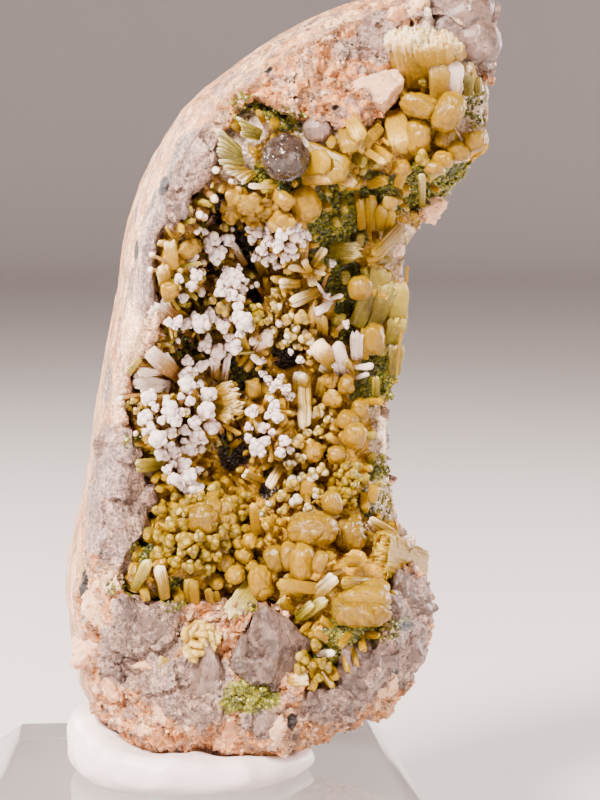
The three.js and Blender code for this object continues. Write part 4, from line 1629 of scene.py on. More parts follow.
EGGS = tuple(
    Egg((x, y), *rest)
    for x, y, *rest in (
        # The large honey lumps.
        (312, 530, 6, 4.2, 0, 1, H, 0.8), (349, 535, 3.8, 4.6, -8, 1, H, 0.9),
        (302, 562, 3, 4.4, 4, 1.4, H, 0.2), (275, 558, 2.6, 3.3, -12, 1, H, 0.4),
        (289, 556, 2.2, 3.4, -4, 1, H, 0.2), (320, 563, 1.6, 2.6, 20, 0.9, H, 0.2),
        (261, 582, 2.9, 4.2, -10, 1.1, H, 0.5, 0.45), (203, 520, 3.7, 3.5, 0, 2.6, H, 0.5, 0.4),
        (332, 503, 2.5, 3, -14, 1.3, H, 0.1, 0.1), (337, 455, 2.4, 2.3, 0, 1.3, H, 0.3, 0.2),
        (354, 436, 3, 3.2, 20, 1.2, H, 0.6, 0.2), (348, 420, 2.8, 2.6, 10, 1.2, H, 0.7, 0.7),
        (346, 385, 2.1, 2.5, 0, 1.6, H, 0.4, 0.1), (333, 399, 2.6, 2.2, 20, 1.3, C, 0.8, 0.8),
        (308, 490, 2.3, 2.4, 0, 1, H, 0.4, 0.3), (312, 451, 2.9, 2.6, 40, 1.2, C, 0.8, 0.8),
        (360, 412, 2.4, 3.4, 5, 0.6, H, 0.4, 0), (388, 539, 3.2, 2, 10, 0.8, H, 0.2, 0.3),
        # The layered mass of the right foot.
        (364, 599, 6.2, 3.4, 0, 1.2, H, 0.3, 0.15), (367, 589, 5.2, 2.4, 0, 0.9, H, 0.2, 0.3),
        (361, 612, 6.8, 3.4, 0, 0.8, H, 0.5, 0.1), (344, 610, 3, 3.2, 10, 0.7, H, 0.6, 0.1),
        # Under the overhang.
        (237, 197, 2.6, 2.4, 0, 1, C, 1.6, 0.7), (231, 210, 2.4, 3, 0, 1.1, C, 1.6, 0.8),
        (249, 206, 3, 2.6, 0, 1.3, C, 1.6, 0.7), (268, 209, 3.2, 2.6, 0, 1.3, C, 1.4, 0.65),
        (258, 220, 2.8, 2.2, 0, 1.5, C, 1.6, 0.85), (282, 222, 3, 2.4, 20, 1.4, C, 1.5, 0.8),
        (284, 201, 2.4, 2, 30, 0.9, H, 0.4, 0.1), (305, 204, 3.6, 4.2, -28, 1.2, H, 0.3, 0.1),
        # The right wall and the left rim.
        (360, 288, 2.9, 2.9, 0, 1, H, 0.1, 0.05), (374, 339, 2.6, 3.8, 0, 0.9, H, 0.25, 0.05),
        (390, 203, 1.8, 1.8, 10, 1.7, C, 0.1, 0.5), (189, 249, 2.8, 2.2, -40, 0.9, C, 0.2, 0.1),
        (170, 290, 2.2, 2, 0, 0.8, H, 0.5, 0.1), (254, 389, 2, 2.4, 0, 0.9, C, 0.5, 0.3),
        (330, 380, 2.2, 2, 0, 0.8, C, 0.6, 0.3),
        # The top right.
        (420, 106, 4.6, 2.9, 15, 1.7, H, 0.15, 0.05), (448, 112, 3.4, 4.8, 32, 1.7, H, 0.25, 0.05),
        (418, 136, 3, 4.4, 5, 1, H, 0.4, 0.1), (434, 168, 2.4, 1.6, 5, 1, H, 0.3, 0.1),
        (447, 139, 3.2, 2.8, 20, 1, H, 0.5, 0.05), (460, 151, 2.8, 2.4, 20, 1.2, H, 0.5, 0.1),
        (475, 141, 2.6, 2.5, 0, 1.8, H, 0.05, 0.05), (443, 160, 2.6, 2, 0, 1, H, 0.6, 0.2),
        (402, 168, 2.2, 1.8, 0, 0.8, H, 0.4, 0.1), (432, 122, 2.6, 2.2, 0, 1, H, 0.4, 0.05),
    )
)

PRISMS = tuple(
    Prism((a, b), (c, d), *rest)
    for a, b, c, d, *rest in (
        # Under the overhang.
        (305, 178, 335, 177, 1.9, 1.8, C, N, 0.35), (330, 175, 357, 185, 1.4, 1.6, C, N, 0.35),
        (308, 152, 349, 174, 3.4, 1.4, H, N, 0.1, 0.5), (300, 165, 330, 160, 2.8, 1, H, N, 0.05, 0.5),
        (277, 187, 247, 186, 0.7, 1.6, C, N, 0.9, 0.5), (299, 283, 278, 284, 1.35, 1.8, C, P, 0.8),
        (321, 290, 290, 304, 1.6, 2.2, C, P, 0.8), (313, 264, 326, 247, 1.1, 1.8, C, P, 0.75),
        (311, 271, 288, 267, 0.9, 1.2, C, N, 0.8), (311, 271, 326, 274, 0.7, 1.2, C, N, 0.8),
        (311, 273, 303, 259, 0.8, 1.2, C, N, 0.8), (311, 271, 313, 288, 1.2, 1, C, P, 0.6),
        # The middle.
        (326, 300, 344, 295, 0.6, 1.4, W, N, 0.9), (326, 298, 317, 283, 0.5, 1.4, W, N, 0.9),
        (331, 302, 320, 311, 1.1, 1.6, W, N, 0.9), (323, 334, 321, 316, 1.5, 1, C, P, 0.4),
        (333, 362, 316, 346, 2.5, 2.2, C, N, 0.75, 0.9), (346, 374, 337, 342, 1.6, 2.4, W, N, 0.9),
        (340, 377, 332, 352, 1.2, 1.8, W, N, 0.85), (352, 372, 345, 360, 1, 1, C, P, 0.7),
        (335, 376, 318, 365, 1.1, 1.2, C, P, 0.8), (304, 372, 305, 431, 1.75, 1.8, C, P, 0.55, 0.6),
        (300, 392, 300, 372, 2, 1.4, C, P, 0.7), (320, 395, 324, 378, 1.6, 1, C, P, 0.3),
        (258, 350, 270, 330, 1.5, 1.6, W, N, 0.7), (247, 348, 241, 333, 0.9, 1.4, C, P, 0.4),
        (252, 356, 262, 364, 0.8, 1.4, W, N, 0.9), (224, 383, 228, 355, 0.9, 1.8, W, P, 0.6),
        (214, 378, 217, 350, 1.1, 1.6, W, P, 0.6), (245, 264, 231, 241, 0.9, 1.4, W),
        (259, 482, 243, 472, 1.3, 1.6, C, P, 0.6), (280, 466, 268, 489, 1.4, 1.6, C, N, 0.8),
        # The right wall.
        (362, 226, 361, 199, 1.35, 1.6, H, N, 0.15), (371, 228, 371, 196, 1.45, 1.8, H, N, 0.15),
        (380, 228, 381, 205, 1.4, 1.7, H, N, 0.15), (389, 226, 391, 210, 1.3, 1.3, H, N, 0.15),
        (400, 228, 373, 258, 1.9, 1.4, H, P, 0.3, 0.6), (332, 251, 364, 251, 2.1, 1.4, O, B, 0.55, 0.5),
        (357, 325, 384, 264, 2.7, 1.4, O, B, 0.2, 0.35), (374, 330, 389, 284, 2.3, 1.9, O, B, 0.3, 0.35),
        (397, 330, 397, 280, 2.9, 1.3, O, B, 0.25, 0.4), (407, 325, 403, 290, 1.6, 0.8, O, B, 0.4, 0.5),
        (357, 358, 357, 331, 1.7, 1.8, W, B, 1, 0.5), (364, 357, 366, 326, 1.5, 1.3, H, P, 0.1, 0.8),
        (398, 375, 397, 341, 1.9, 0.9, O, B, 0.5, 0.4), (392, 345, 398, 316, 2.2, 1, O, B, 0.2, 0.5),
        (354, 368, 374, 366, 0.8, 1.5, W, N, 0.9), (356, 378, 370, 373, 0.7, 1.3, W, N, 0.9),
        (376, 398, 376, 375, 1, 1, O, P, 0.1), (366, 402, 385, 401, 1, 1, H, N, 0.1),
        # Blades over the left rim.
        (180, 378, 147, 350, 2, 0.8, W, B, 0.5, 0.4), (168, 388, 131, 380, 1.8, 1.2, W, B, 1, 0.5),
        (174, 372, 136, 372, 1, 1.6, W, B, 0.85, 0.5), (168, 386, 139, 393, 1, 2.6, W, B, 0.9, 0.5),
        (180, 374, 160, 352, 1.2, 1.4, W, B, 0.5, 0.4), (173, 324, 149, 306, 1.7, 1.1, W, B, 0.6, 0.3),
        (175, 316, 158, 299, 1.2, 0.9, W, B, 0.5, 0.3), (169, 300, 161, 264, 1.5, 0.6, C, B, 0.6, 0.5),
        (174, 268, 168, 238, 1.5, 0.6, C, B, 0.6, 0.5), (160, 464, 134, 466, 1.7, 1, O, P, 0.4, 0.6),
        # The honey bunch's own prisms.
        (256, 533, 253, 502, 1.15, 1.6, H, N, 0.4, 0.9), (135, 587, 149, 560, 1.4, 1.6, O, N, 0.35, 0.9),
        (165, 596, 159, 565, 1.5, 2, C, N, 0.75, 0.9), (193, 604, 191, 577, 2, 1.6, H, P, 0.3),
        (211, 606, 207, 588, 1, 1.2, H, P, 0.2), (219, 604, 214, 590, 0.9, 1, H, P, 0.2),
        (262, 571, 227, 619, 2.4, 1.5, O, B, 0.55, 0.3), (268, 580, 238, 616, 1.6, 1, O, B, 0.4, 0.3),
        (316, 588, 276, 584, 1.7, 1.6, H, N, 0.2), (314, 597, 336, 575, 1.75, 2.2, C, P, 0.85),
        (304, 615, 328, 598, 1.6, 1.4, O, P, 0.4), (298, 617, 314, 602, 1.3, 1.2, O, P, 0.4),
        (290, 612, 280, 598, 1.5, 1.2, H),
        # The right foot.
        (380, 584, 341, 583, 1.7, 1.4, H, N, 0.2), (420, 568, 378, 552, 5.4, 2.4, H, B, 0.55, 0.45),
        (394, 535, 368, 519, 1.4, 1, C, P, 0.6, 0.6), (318, 654, 335, 653, 0.9, 1.2, W, N, 0.9),
        (287, 680, 309, 679, 1.8, 0.9, C, N, 0.7),
        # The top right.
        (394, 116, 404, 150, 3.2, 2, C, N, 0.2), (379, 128, 357, 151, 1.6, 2, C, N, 0.35),
        (350, 117, 362, 140, 1.9, 1.4, C, N, 0.3), (373, 147, 393, 160, 1.2, 1.4, H, N, 0.2),
        (368, 152, 386, 164, 1, 1.2, C, N, 0.3), (346, 130, 352, 152, 2.4, 0.8, H, N, 0),
        (439, 97, 440, 62, 2.6, 1.3, C, N, 0.3, 0.7), (454, 95, 455, 61, 2.1, 1.5, W, N, 0.8, 0.7),
        (470, 90, 461, 64, 1, 0.6, O, N, 0.1), (477, 86, 469, 62, 0.9, 0.6, C, N, 0.5),
        (486, 82, 478, 62, 0.9, 0.5, C, N, 0.6), (468, 94, 470, 74, 1.2, 0.3, O, N, 0.1),
        (478, 92, 477, 76, 1, 0.3, O, N, 0.2), (418, 80, 410, 31, 4.6, 0.8, C, B, 0.75, 0.6),
        (436, 66, 432, 36, 5, 0.6, C, B, 0.6, 0.5), (404, 68, 396, 29, 3.6, 0.4, C, B, 0.9, 0.6),
        (454, 60, 448, 47, 3.6, 0.6, C, B, 0.7, 0.5), (214, 404, 240, 396, 4.4, 1.7, C, B, 0.5, 0.22),
        (214, 410, 236, 416, 2.4, 1.2, C, B, 0.4, 0.3), (422, 206, 422, 173, 0.9, 1.6, O, N, 0.7),
        (370, 184, 388, 179, 1.4, 1.4, H, N, 0.3), (398, 185, 404, 168, 1.3, 1.4, H, N, 0.1),
        (455, 160, 470, 156, 0.9, 1.6, W, N, 0.9),
    )
)


@dataclass(frozen=True)
class Fan:
    """Thin blades side by side that spread from one root line."""

    root: Pixel  # the pixel where the blades start
    tips: tuple[Pixel, Pixel]  # the pixels of the first and the last tip
    blades: int  # how many there are
    wide: float  # the width of one blade
    kind: Kind  # its zeolite
    rise: float  # how far the tips come forward
    coat: float  # how much white coat they wear
    shift: Pixel  # the pixel step from the first root to the last


FANS = (
    # Fans of the overhang.
    Fan((262, 132), ((236, 117), (240, 134)), 6, 0.6, O, 0.8, 0.55, (-2, 6)),
    Fan((240, 150), ((216, 130), (216, 160)), 7, 0.7, O, 0.7, 0.75, (4, 14)),
    Fan((246, 170), ((222, 168), (240, 184)), 5, 0.7, C, 0.9, 0.75, (8, 4)),
    Fan((262, 276), ((249, 252), (260, 250)), 6, 0.32, C, 1.8, 0.8, (6, 0)),
    # Yellow flakes of the left foot.
    Fan((184, 672), ((156, 660), (158, 672)), 4, 0.8, C, 0.8, 0.4, (0, 4)),
)


@dataclass(frozen=True)
class Growth:
    """The small crystals that grow between the named ones in one part of the crust."""

    hearts: tuple[Pixel, ...]  # pixels that the part lies about
    kinds: dict[Kind, float]  # the share of each kind
    size: float  # the radius of a crystal
    length: float  # its length
    spacing: float  # how far the crystals stand apart
    coat: float  # the most white coat that they wear


ZONES = (
    # The upper pocket, the right wall and the middle.
    Growth(((200, 250), (190, 330), (250, 300), (180, 400)), {W: 0.2, C: 0.5, O: 0.3}, 0.42, 1.0, 1.1, 0.65),
    Growth(((350, 230), (370, 300), (380, 370), (375, 470)), {O: 0.7, H: 0.3}, 0.7, 0.5, 1.7, 0.1),
    Growth(((285, 270), (300, 360), (270, 430), (310, 440)), {C: 0.7, H: 0.3}, 0.55, 1.0, 1.1, 0.4),
    # The honey bunches, the foot and the top.
    Growth(((200, 520), (270, 520), (330, 490), (240, 580)), {H: 1.0}, 0.65, 0.9, 1.15, 0.25),
    Growth(((340, 590), (390, 560), (330, 640), (160, 580)), {H: 0.9, O: 0.1}, 0.7, 0.8, 1.3, 0.15),
    Growth(((430, 110), (440, 160), (330, 160), (470, 90)), {H: 0.6, O: 0.4}, 0.7, 0.5, 1.6, 0.1),
)

# Holes between the bunches, sunk deeper and painted dark as painted shade: the pixel and the radius.
HOLES = (
    (214, 214, 1.9), (240, 228, 0.9), (243, 248, 1.1), (206, 268, 0.9), (252, 262, 0.8), (285, 357, 1.4),
    (252, 300, 1), (240, 372, 1.5), (186, 342, 1.5), (233, 458, 1.5), (225, 435, 0.9), (268, 494, 0.9),
    (322, 508, 0.7), (259, 376, 0.8), (325, 456, 0.5), (333, 190, 0.7), (433, 76, 0.6), (214, 596, 0.8),
    (270, 476, 0.7), (219, 573, 0.7), (245, 520, 0.7), (139, 390, 0.7),
)

# Patches of green druse: the pixel and the radius.
DRUSE = (
    (338, 205, 2.4), (334, 228, 2.4), (350, 238, 1.6), (338, 276, 2), (350, 308, 1.4), (345, 335, 1),
    (385, 375, 2.4), (378, 390, 1.6), (384, 470, 1.6), (376, 505, 1.6), (240, 374, 1.6), (186, 344, 1.6),
    (172, 303, 0.8), (425, 186, 2.4), (450, 182, 2.4), (405, 192, 1.8), (375, 190, 1.6), (172, 597, 1.5),
    (142, 553, 1.3), (330, 646, 1.3), (350, 627, 1.3), (318, 668, 1), (380, 620, 1.1), (250, 178, 1.2),
    (340, 652, 1.4), (353, 640, 1.7), (367, 632, 1.5), (328, 664, 1), (336, 636, 1.2), (262, 172, 0.8),
    (290, 184, 1.2), (448, 43, 1.2), (438, 36, 0.8), (459, 50, 0.8), (243, 107, 1.4), (268, 112, 0.9),
    (470, 109, 1), (478, 121, 0.8), (466, 97, 0.8), (480, 96, 0.6), (284, 118, 1.1), (298, 122, 1),
    (132, 441, 0.8), (255, 608, 1), (386, 632, 1.2), (225, 446, 0.9), (318, 262, 1.2), (365, 395, 1.4),
    (228, 706, 0.8), (239, 699, 1), (250, 693, 0.9), (262, 688, 1), (272, 683, 0.7), (262, 700, 0.7),
    (112, 588, 0.8),
)

# Where the crust is thick and honey-coloured down to its floor: the pixel and the radius.
THICK = (
    (205, 530, 7), (235, 565, 5), (300, 540, 8), (340, 460, 4.5), (300, 470, 5), (390, 560, 5),
    (350, 600, 6), (330, 640, 4), (430, 120, 6), (445, 155, 4.5), (320, 165, 4), (270, 205, 5),
    (375, 290, 5.5), (380, 240, 3), (300, 400, 4), (170, 275, 2.4), (345, 400, 4), (280, 430, 3.5),
    (165, 440, 2.4), (420, 62, 4),
)

# Where the pale rock shows through: the pixel and the radius.
ROCK = (
    (471, 112, 1.9), (405, 250, 1.8), (400, 265, 1.4), (486, 100, 1.4), (395, 415, 1.6), (402, 500, 2),
    (392, 450, 1.6), (484, 60, 1.8), (400, 24, 2.4), (418, 16, 3.2), (428, 8, 2.8), (440, 20, 2.8),
    (450, 34, 2.4), (464, 50, 2), (478, 58, 1.8), (484, 82, 2), (484, 104, 2), (482, 124, 1.8),
    (388, 40, 1.8), (411, 541, 1.3), (318, 128, 2), (236, 166, 1.5), (232, 140, 1.8), (250, 126, 1.6),
)


@dataclass
class CrystalCrust:
    """The crystal crust: its floor, the named crystals and bunches, and what grows between them."""

    stone: Piece  # the granite, which the seam closes onto
    voxel: float = 0.5  # the size of the floor's faces
    sink: float = 2.3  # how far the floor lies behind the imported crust's front
    hole_sink: float = 1.6  # how much deeper it lies in a hole
    root_depth: float = 2.6  # how far behind the front the crystals start
    cell: float = 1.7  # the search grid's pitch, no less than any spacing
    through: float = 12.0  # longer than any ray from the crust's front to its back
    cover: float = 0.7  # the least of the crust that stays over the stone
    sample_count: int = 26000  # the places that are tried for small crystals
    open_gap: float = 1.5  # a sample with less room than this before the stone is left out
    lobed_from: float = 0.2  # heads with at least this much coat have lobes
    core_from: float = 2.0  # a honey bunch with a higher dome stands on a grown-together body
    large_egg: float = 11.0  # a lump of more square millimetres than this has finer faces
    wide_blade: float = 3.5  # and so has a blade wider than this
    druse_share: float = 0.9  # how much of the crystals' growth the green druse keeps off
    druse_count: int = 36  # its grains to a patch of one millimetre's radius

    def __post_init__(self) -> None:
        """Prepares the forms and the surfaces."""
        shop = ShapeShop()
        ball = [shop.ball(rounds) for rounds in range(1, 6)]
        self.roll = random.Random(20)
        self.bead = [ball[1].varied(k, 0.07) for k in range(5)]
        self.club = ball[3].boxy(0.88).drawn_out(2.0)
        self.lump = [ball[3].boxy(0.8), ball[4].boxy(0.8)]
        self.grain = [ball[0].varied(50 + k, 0.25) for k in range(4)]
        self.prism = [shop.rod(2).varied(20 + k, 0.07) for k in range(6)]
        self.stalk = shop.rod(1)
        self.rod = shop.rod(4)
        self.slab = shop.rod(13)
        self.wide_slab = shop.rod(28)
        self.pieces = {kind: JoinedPiece(kind.value) for kind in Kind}
        self.taken: list[Vector] = []
        self.shown: list[tuple[float, float, float, float]] = []
        self.plain = copied_node("zeolite_crust", "druse_floor", self.voxel, 26)
        self.front = Surface(self.plain, self.stone)
        self.socket = Surface(frame["nodes"]["granite_matrix"])

    def build(self) -> None:
        """Grows everything and writes the pieces."""
        samples = self._samples()
        self._floor()
        for bunch in BUNCHES:
            self._bunch(bunch)
        for egg in EGGS:
            self._egg(egg)
        for prism in PRISMS:
            self._prism(prism)
        for fan in FANS:
            self._fan(fan)
        self._between(samples)
        self._druse_grains()
        for kind, piece in self.pieces.items():
            piece.build(FINISHES[kind].build(), 42, 0.09)

    def _samples(self) -> list[tuple[Vector, Vector]]:
        """Scatters points over the parts of the crust that lie open.

        Returns:
            Points and outward normals.
        """
        faces = list(self.plain.data.polygons)
        areas = np.array([face.area for face in faces])
        picks = np.random.default_rng(3).choice(len(faces), self.sample_count, p=areas / areas.sum())
        open_points = []
        for pick in picks:
            face = faces[pick]
            point = face.center / MM + Vector([self.roll.uniform(-0.25, 0.25) for _ in range(3)])
            normal = face.normal.copy()
            room = self.socket.depth_behind(point + normal * 0.05, normal, self.open_gap + 0.1)
            if normal.y < 0.6 and room > self.open_gap:
                open_points.append((point, normal))
        return open_points

    def _floor(self) -> None:
        """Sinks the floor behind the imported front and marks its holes, its green and its thick parts."""
        points = points_of(self.plain)
        normals = normals_of(self.plain)
        hole = self._spots(points, HOLES)
        sinks = np.zeros(len(points))
        for i, (place, normal) in enumerate(zip(points, normals)):
            full = self.sink + self.hole_sink * hole[i]
            here = Vector(place)
            if normal[1] < -0.1:
                room = max(0.0, self.socket.depth_behind(here, -FORWARD, self.through) - self.cover)
                sinks[i] = min(full, room)
            else:
                room = self.front.depth_behind(here - Vector(normal) * 0.3, FORWARD, self.through)
                sinks[i] = max(0.0, full - room) * (normal[1] < 0.8)
        moved = points + np.outer(sinks, (0, 1, 0))
        moved += normals * (0.18 * noise_at(points, 1.0, 6) + 0.12 * noise_at(points, 0.5, 7))[:, None]
        put_points(self.plain, moved)
        for name, values in (
            ("hole", hole),
            ("green", self._spots(points, DRUSE)),
            ("thick", self._spots(points, THICK)),
            ("rock", self._spots(points, ROCK)),
        ):
            mark(self.plain, name, values)
        finish_piece(self.plain, CrustFloorFinish().build(), 180, "zeolite", "zeolite_crust")

    def _spots(self, points: Array, spots: tuple[Triple, ...]) -> Array:
        """Marks the places near some pixels of the photograph.

        Args:
            points: The vertices.
            spots: Pixels and radii.

        Returns:
            A mark from 0 to 1 for each vertex.
        """
        marks = np.zeros(len(points))
        for x, y, radius in spots:
            ray = np.array(CAMERA.ray((x, y)))
            away = points - np.array(self.front.under((x, y))[0])
            away = away - np.outer(away @ ray, ray)
            share = 1 - np.linalg.norm(away, axis=1) / (1.6 * radius)
            marks = np.maximum(marks, np.clip(share * 2, 0, 1))
        return marks

    def _bunch(self, bunch: Bunch) -> None:
        """Grows a bunch of heads on stalks.

        Args:
            bunch: The bunch.
        """
        heart, _ = self.front.under(bunch.at)
        heart = heart + CAMERA.ray(bunch.at) * (self.root_depth + 1.0)
        reach = max(math.dist(bunch.at, head[:2]) for head in bunch.heads) + 4
        if bunch.kind is H and bunch.dome > self.core_from:
            self._core(bunch)
        for x, y, radius in bunch.heads:
            ray = CAMERA.ray((x, y))
            point, _ = self.front.under((x, y))
            away = math.dist(bunch.at, (x, y)) / reach
            middle = point - ray * (bunch.rise + bunch.dome * (1 - away * away))
            root = (point + ray * self.root_depth).lerp(heart, 0.45)
            grow = self._lobed_head if bunch.coat >= self.lobed_from else self._bar_end
            grow(bunch.kind, Head(middle, root, radius, bunch.coat))
            self._show(middle, radius)

    def _core(self, bunch: Bunch) -> None:
        """Adds the grown-together body that a bunch's heads stand on.

        Args:
            bunch: The bunch.
        """
        spread = np.ptp(np.array(bunch.heads)[:, :2], axis=0) / PIXELS_PER_MM
        middle = np.array(bunch.heads)[:, :2].mean(axis=0)
        point, _ = self.front.under(tuple(middle))
        sizes = (0.42 * spread[0], 0.8 + bunch.dome, 0.42 * spread[1])
        shape, dent = self.lump[1].crumbled(sizes, 1.3, 0.5, 5)
        columns = columns_along(Vector((0, 0, 1)), FORWARD, 0.0, sizes)
        at = point + Vector((0, 3.0 - bunch.rise, 0))
        self.pieces[bunch.kind].add(shape, columns, at, 0.5, 0.0, (0.3, 0.8), dent * 0.5)

    def _lobed_head(self, kind: Kind, head: Head) -> None:
        """Adds a head like popcorn: a core on a stalk, with lobes all over its open side.

        Args:
            kind: Its zeolite.
            head: Its place, its size and its coat.
        """
        radius = head.radius
        tone = self.roll.random()
        self._bead_on_stalk(kind, Head(head.middle, head.root, radius * 0.8, head.coat * 0.5), tone)
        view = CAMERA.ray(CAMERA.pixel_of(head.middle))
        out = ((head.middle - head.root).normalized() - view * 1.2).normalized()
        turn = out.to_track_quat("Z", "Y")
        soft = kind in (H, C)
        lobes = int((2.5 if soft else 3.5) + 2.5 * radius)
        low, high = (0.62, 0.8) if soft else (0.5, 0.74)
        for k in range(lobes):
            tall = 1 - 1.25 * (k + 0.5) / lobes
            flat = math.sqrt(1 - tall * tall)
            spin = k * GOLDEN_TURN + tone * 6
            way = turn @ Vector((flat * math.cos(spin), flat * math.sin(spin), tall))
            size = radius * self.roll.uniform(low, high)
            middle = head.middle + way * (radius * self.roll.uniform(0.96, 1.16) - size)
            columns = columns_along(way, out, spin, (size, size * 0.9, size * self.roll.uniform(0.9, 1.25)))
            shape = self.roll.choice(self.bead)
            far = np.linalg.norm(shape.points @ columns.T + np.array(middle - head.middle), axis=1)
            # The dent mark makes the finish paint the crevices between lobes darker, as painted shade.
            dent = np.clip((0.98 * radius - far) / (0.3 * radius), 0, 1)
            share = self.roll.uniform(0.0, 1.0) ** 2 * 2.2 if soft else self.roll.uniform(0.8, 1.1)
            own = min(1.0, head.coat * share)
            shade = tone * 0.6 + self.roll.random() * 0.4
            self.pieces[kind].add(shape, columns, middle, shade, own, (0.8, 1.0), dent)

    def _bar_end(self, kind: Kind, head: Head) -> None:
        """Adds the blunt end of a bar with soft lobes.

        Args:
            kind: Its zeolite.
            head: Its place, its size and its coat.
        """
        at, radius = head.middle, head.radius
        sizes = (radius, radius * self.roll.uniform(0.85, 1.05), radius * self.roll.uniform(1.0, 1.2))
        shape, dent = self.club.crumbled(sizes, 1.0, 0.14, int(at.x * 31 + at.z * 57) % 900)
        columns = columns_along(at - head.root, FORWARD, self.roll.uniform(0, math.tau), sizes)
        self.pieces[kind].add(shape, columns, at, self.roll.random(), head.coat, (-0.1, 1.0), dent * 0.8)
        self.taken.append(at)

    def _bead_on_stalk(self, kind: Kind, head: Head, tone: float) -> None:
        """Adds one plain head with the stalk that holds it.

        Args:
            kind: Its zeolite.
            head: Its place, its size and its coat.
            tone: The crystal's shade.
        """
        axis, radius = head.middle - head.root, head.radius
        turn = self.roll.uniform(0, math.tau)
        sizes = (radius, radius * self.roll.uniform(0.85, 1.05), radius * self.roll.uniform(1.0, 1.22))
        columns = columns_along(axis, FORWARD, turn, sizes)
        bead = self.roll.choice(self.bead)
        self.pieces[kind].add(bead, columns, head.middle, tone, head.coat, (0.4, 0.9))
        thick = radius * self.roll.uniform(0.6, 0.8)
        stem = columns_along(axis, FORWARD, turn, (thick, thick, axis.length))
        self.pieces[kind].add(self.stalk, stem, head.root, tone, head.coat * 0.3, (0.0, 0.5))
        self.taken.append(head.middle)

    def _show(self, point: Vector, radius: float) -> None:
        """Remembers what a named crystal covers in the photograph, so that nothing small hides it."""
        x, y = CAMERA.pixel_of(point)
        self.shown.append((x, y, radius * PIXELS_PER_MM, point.y))

    def _egg(self, egg: Egg) -> None:
        """Grows a swollen crystal with lobes, on a stem that reaches the crust.

        Args:
            egg: The crystal.
        """
        ray = CAMERA.ray(egg.at)
        point, _ = self.front.under(egg.at)
        middle = point - ray * egg.rise
        lean = math.radians(egg.lean)
        up = Vector((math.sin(lean), 0.0, math.cos(lean)))
        sizes = (egg.wide / 2, 0.5 * math.sqrt(egg.wide * egg.tall), egg.tall / 2)
        body = self.lump[1 if egg.wide * egg.tall > self.large_egg else 0]
        seed = int(egg.at[0] * 7 + egg.at[1])
        shape, dent = body.crumbled(sizes, 1.5, 0.05 + 0.24 * egg.lobes, seed)
        tone = self.roll.random()
        piece = self.pieces[egg.kind]
        dent = dent * (0.3 + 0.7 * egg.lobes)
        piece.add(shape, columns_along(up, -ray, 0.0, sizes), middle, tone, egg.coat, (0.0, 0.75), dent)
        self._show(middle, 0.55 * max(egg.wide, egg.tall))
        thick = 0.3 * min(egg.wide, egg.tall)
        root = point + ray * self.root_depth
        stem = columns_along(middle - root, -ray, 0.0, (thick, thick, (middle - root).length))
        piece.add(self.stalk, stem, root, tone, 0.0, (0.0, 0.3))
        self.taken.append(middle)

    def _prism(self, prism: Prism) -> None:
        """Grows one long crystal from its root pixel to its tip pixel.

        Args:
            prism: The crystal.
        """
        tip_ray = CAMERA.ray(prism.tip)
        root, _ = self.front.under(prism.root)
        behind, _ = self.front.under(prism.tip)
        depth = min(root.y - prism.rise, behind.y - 0.4 * prism.wide)
        tip = CAMERA.place + tip_ray * ((depth - CAMERA.place.y) / tip_ray.y)
        sunk = root + CAMERA.ray(prism.root) * 0.9
        axis = tip - sunk
        half = prism.wide / 2
        tone = self.roll.random()
        for across, through, wide, deep, long in self._strands(prism):
            sizes = (half * wide, half * deep, axis.length * long)
            columns = columns_along(axis, -tip_ray, self.roll.uniform(-0.25, 0.25), sizes)
            shift = Vector(columns[:, 0]) / wide * across + Vector(columns[:, 1]) / deep * through
            form, ridge, ragged = self.rod, 0.07, 0.3
            if prism.form is Form.BLADE:
                form, ridge, ragged = self.slab, 0.13, 0.8
            if prism.form is Form.BLADE and prism.wide > self.wide_blade:
                form, ridge, ragged = self.wide_slab, 0.2, 0.9
            shape = form.fibrous(sizes, ridge, ragged, self.roll.random())
            own = min(1.0, max(0.0, tone + self.roll.uniform(-0.15, 0.15)))
            self.pieces[prism.kind].add(shape, columns, sunk + shift, own, prism.coat, (0.0, 1.0))
        for share in (0.1, 0.3, 0.5, 0.7, 0.9):
            self._show(root.lerp(tip, share), half)
            self.taken.append(root.lerp(tip, share))

    def _strands(self, prism: Prism) -> list[tuple[float, ...]]:
        """Gives the bars that a crystal is a bundle of.

        Args:
            prism: The crystal.

        Returns:
            A row of shift across, shift through, width, depth and length for each bar.
        """
        flat = prism.flat
        if prism.form is not Form.PRISM:
            return [(0.0, 0.0, 1.0, flat, 1.0)]
        low, high = 0.62 * flat, 0.68 * flat
        return [(-0.34, 0.1, 0.62, low, 0.94), (0.3, -0.12, 0.68, high, 1.0), (0.02, 0.4, 0.6, low, 0.88)]

    def _fan(self, fan: Fan) -> None:
        """Grows blades side by side from one line of roots.

        Args:
            fan: The fan.
        """
        first, last = fan.tips
        for k in range(fan.blades):
            share = (k + self.roll.uniform(-0.2, 0.2)) / (fan.blades - 1)
            tip = tuple(a + (b - a) * share + self.roll.uniform(-1.5, 1.5) for a, b in zip(first, last))
            root = tuple(a + b * share for a, b in zip(fan.root, fan.shift))
            wide = fan.wide * self.roll.uniform(0.8, 1.3)
            rise = fan.rise * self.roll.uniform(0.6, 1.3)
            self._prism(Prism(root, tip, wide, rise, fan.kind, P, fan.coat, 0.6))

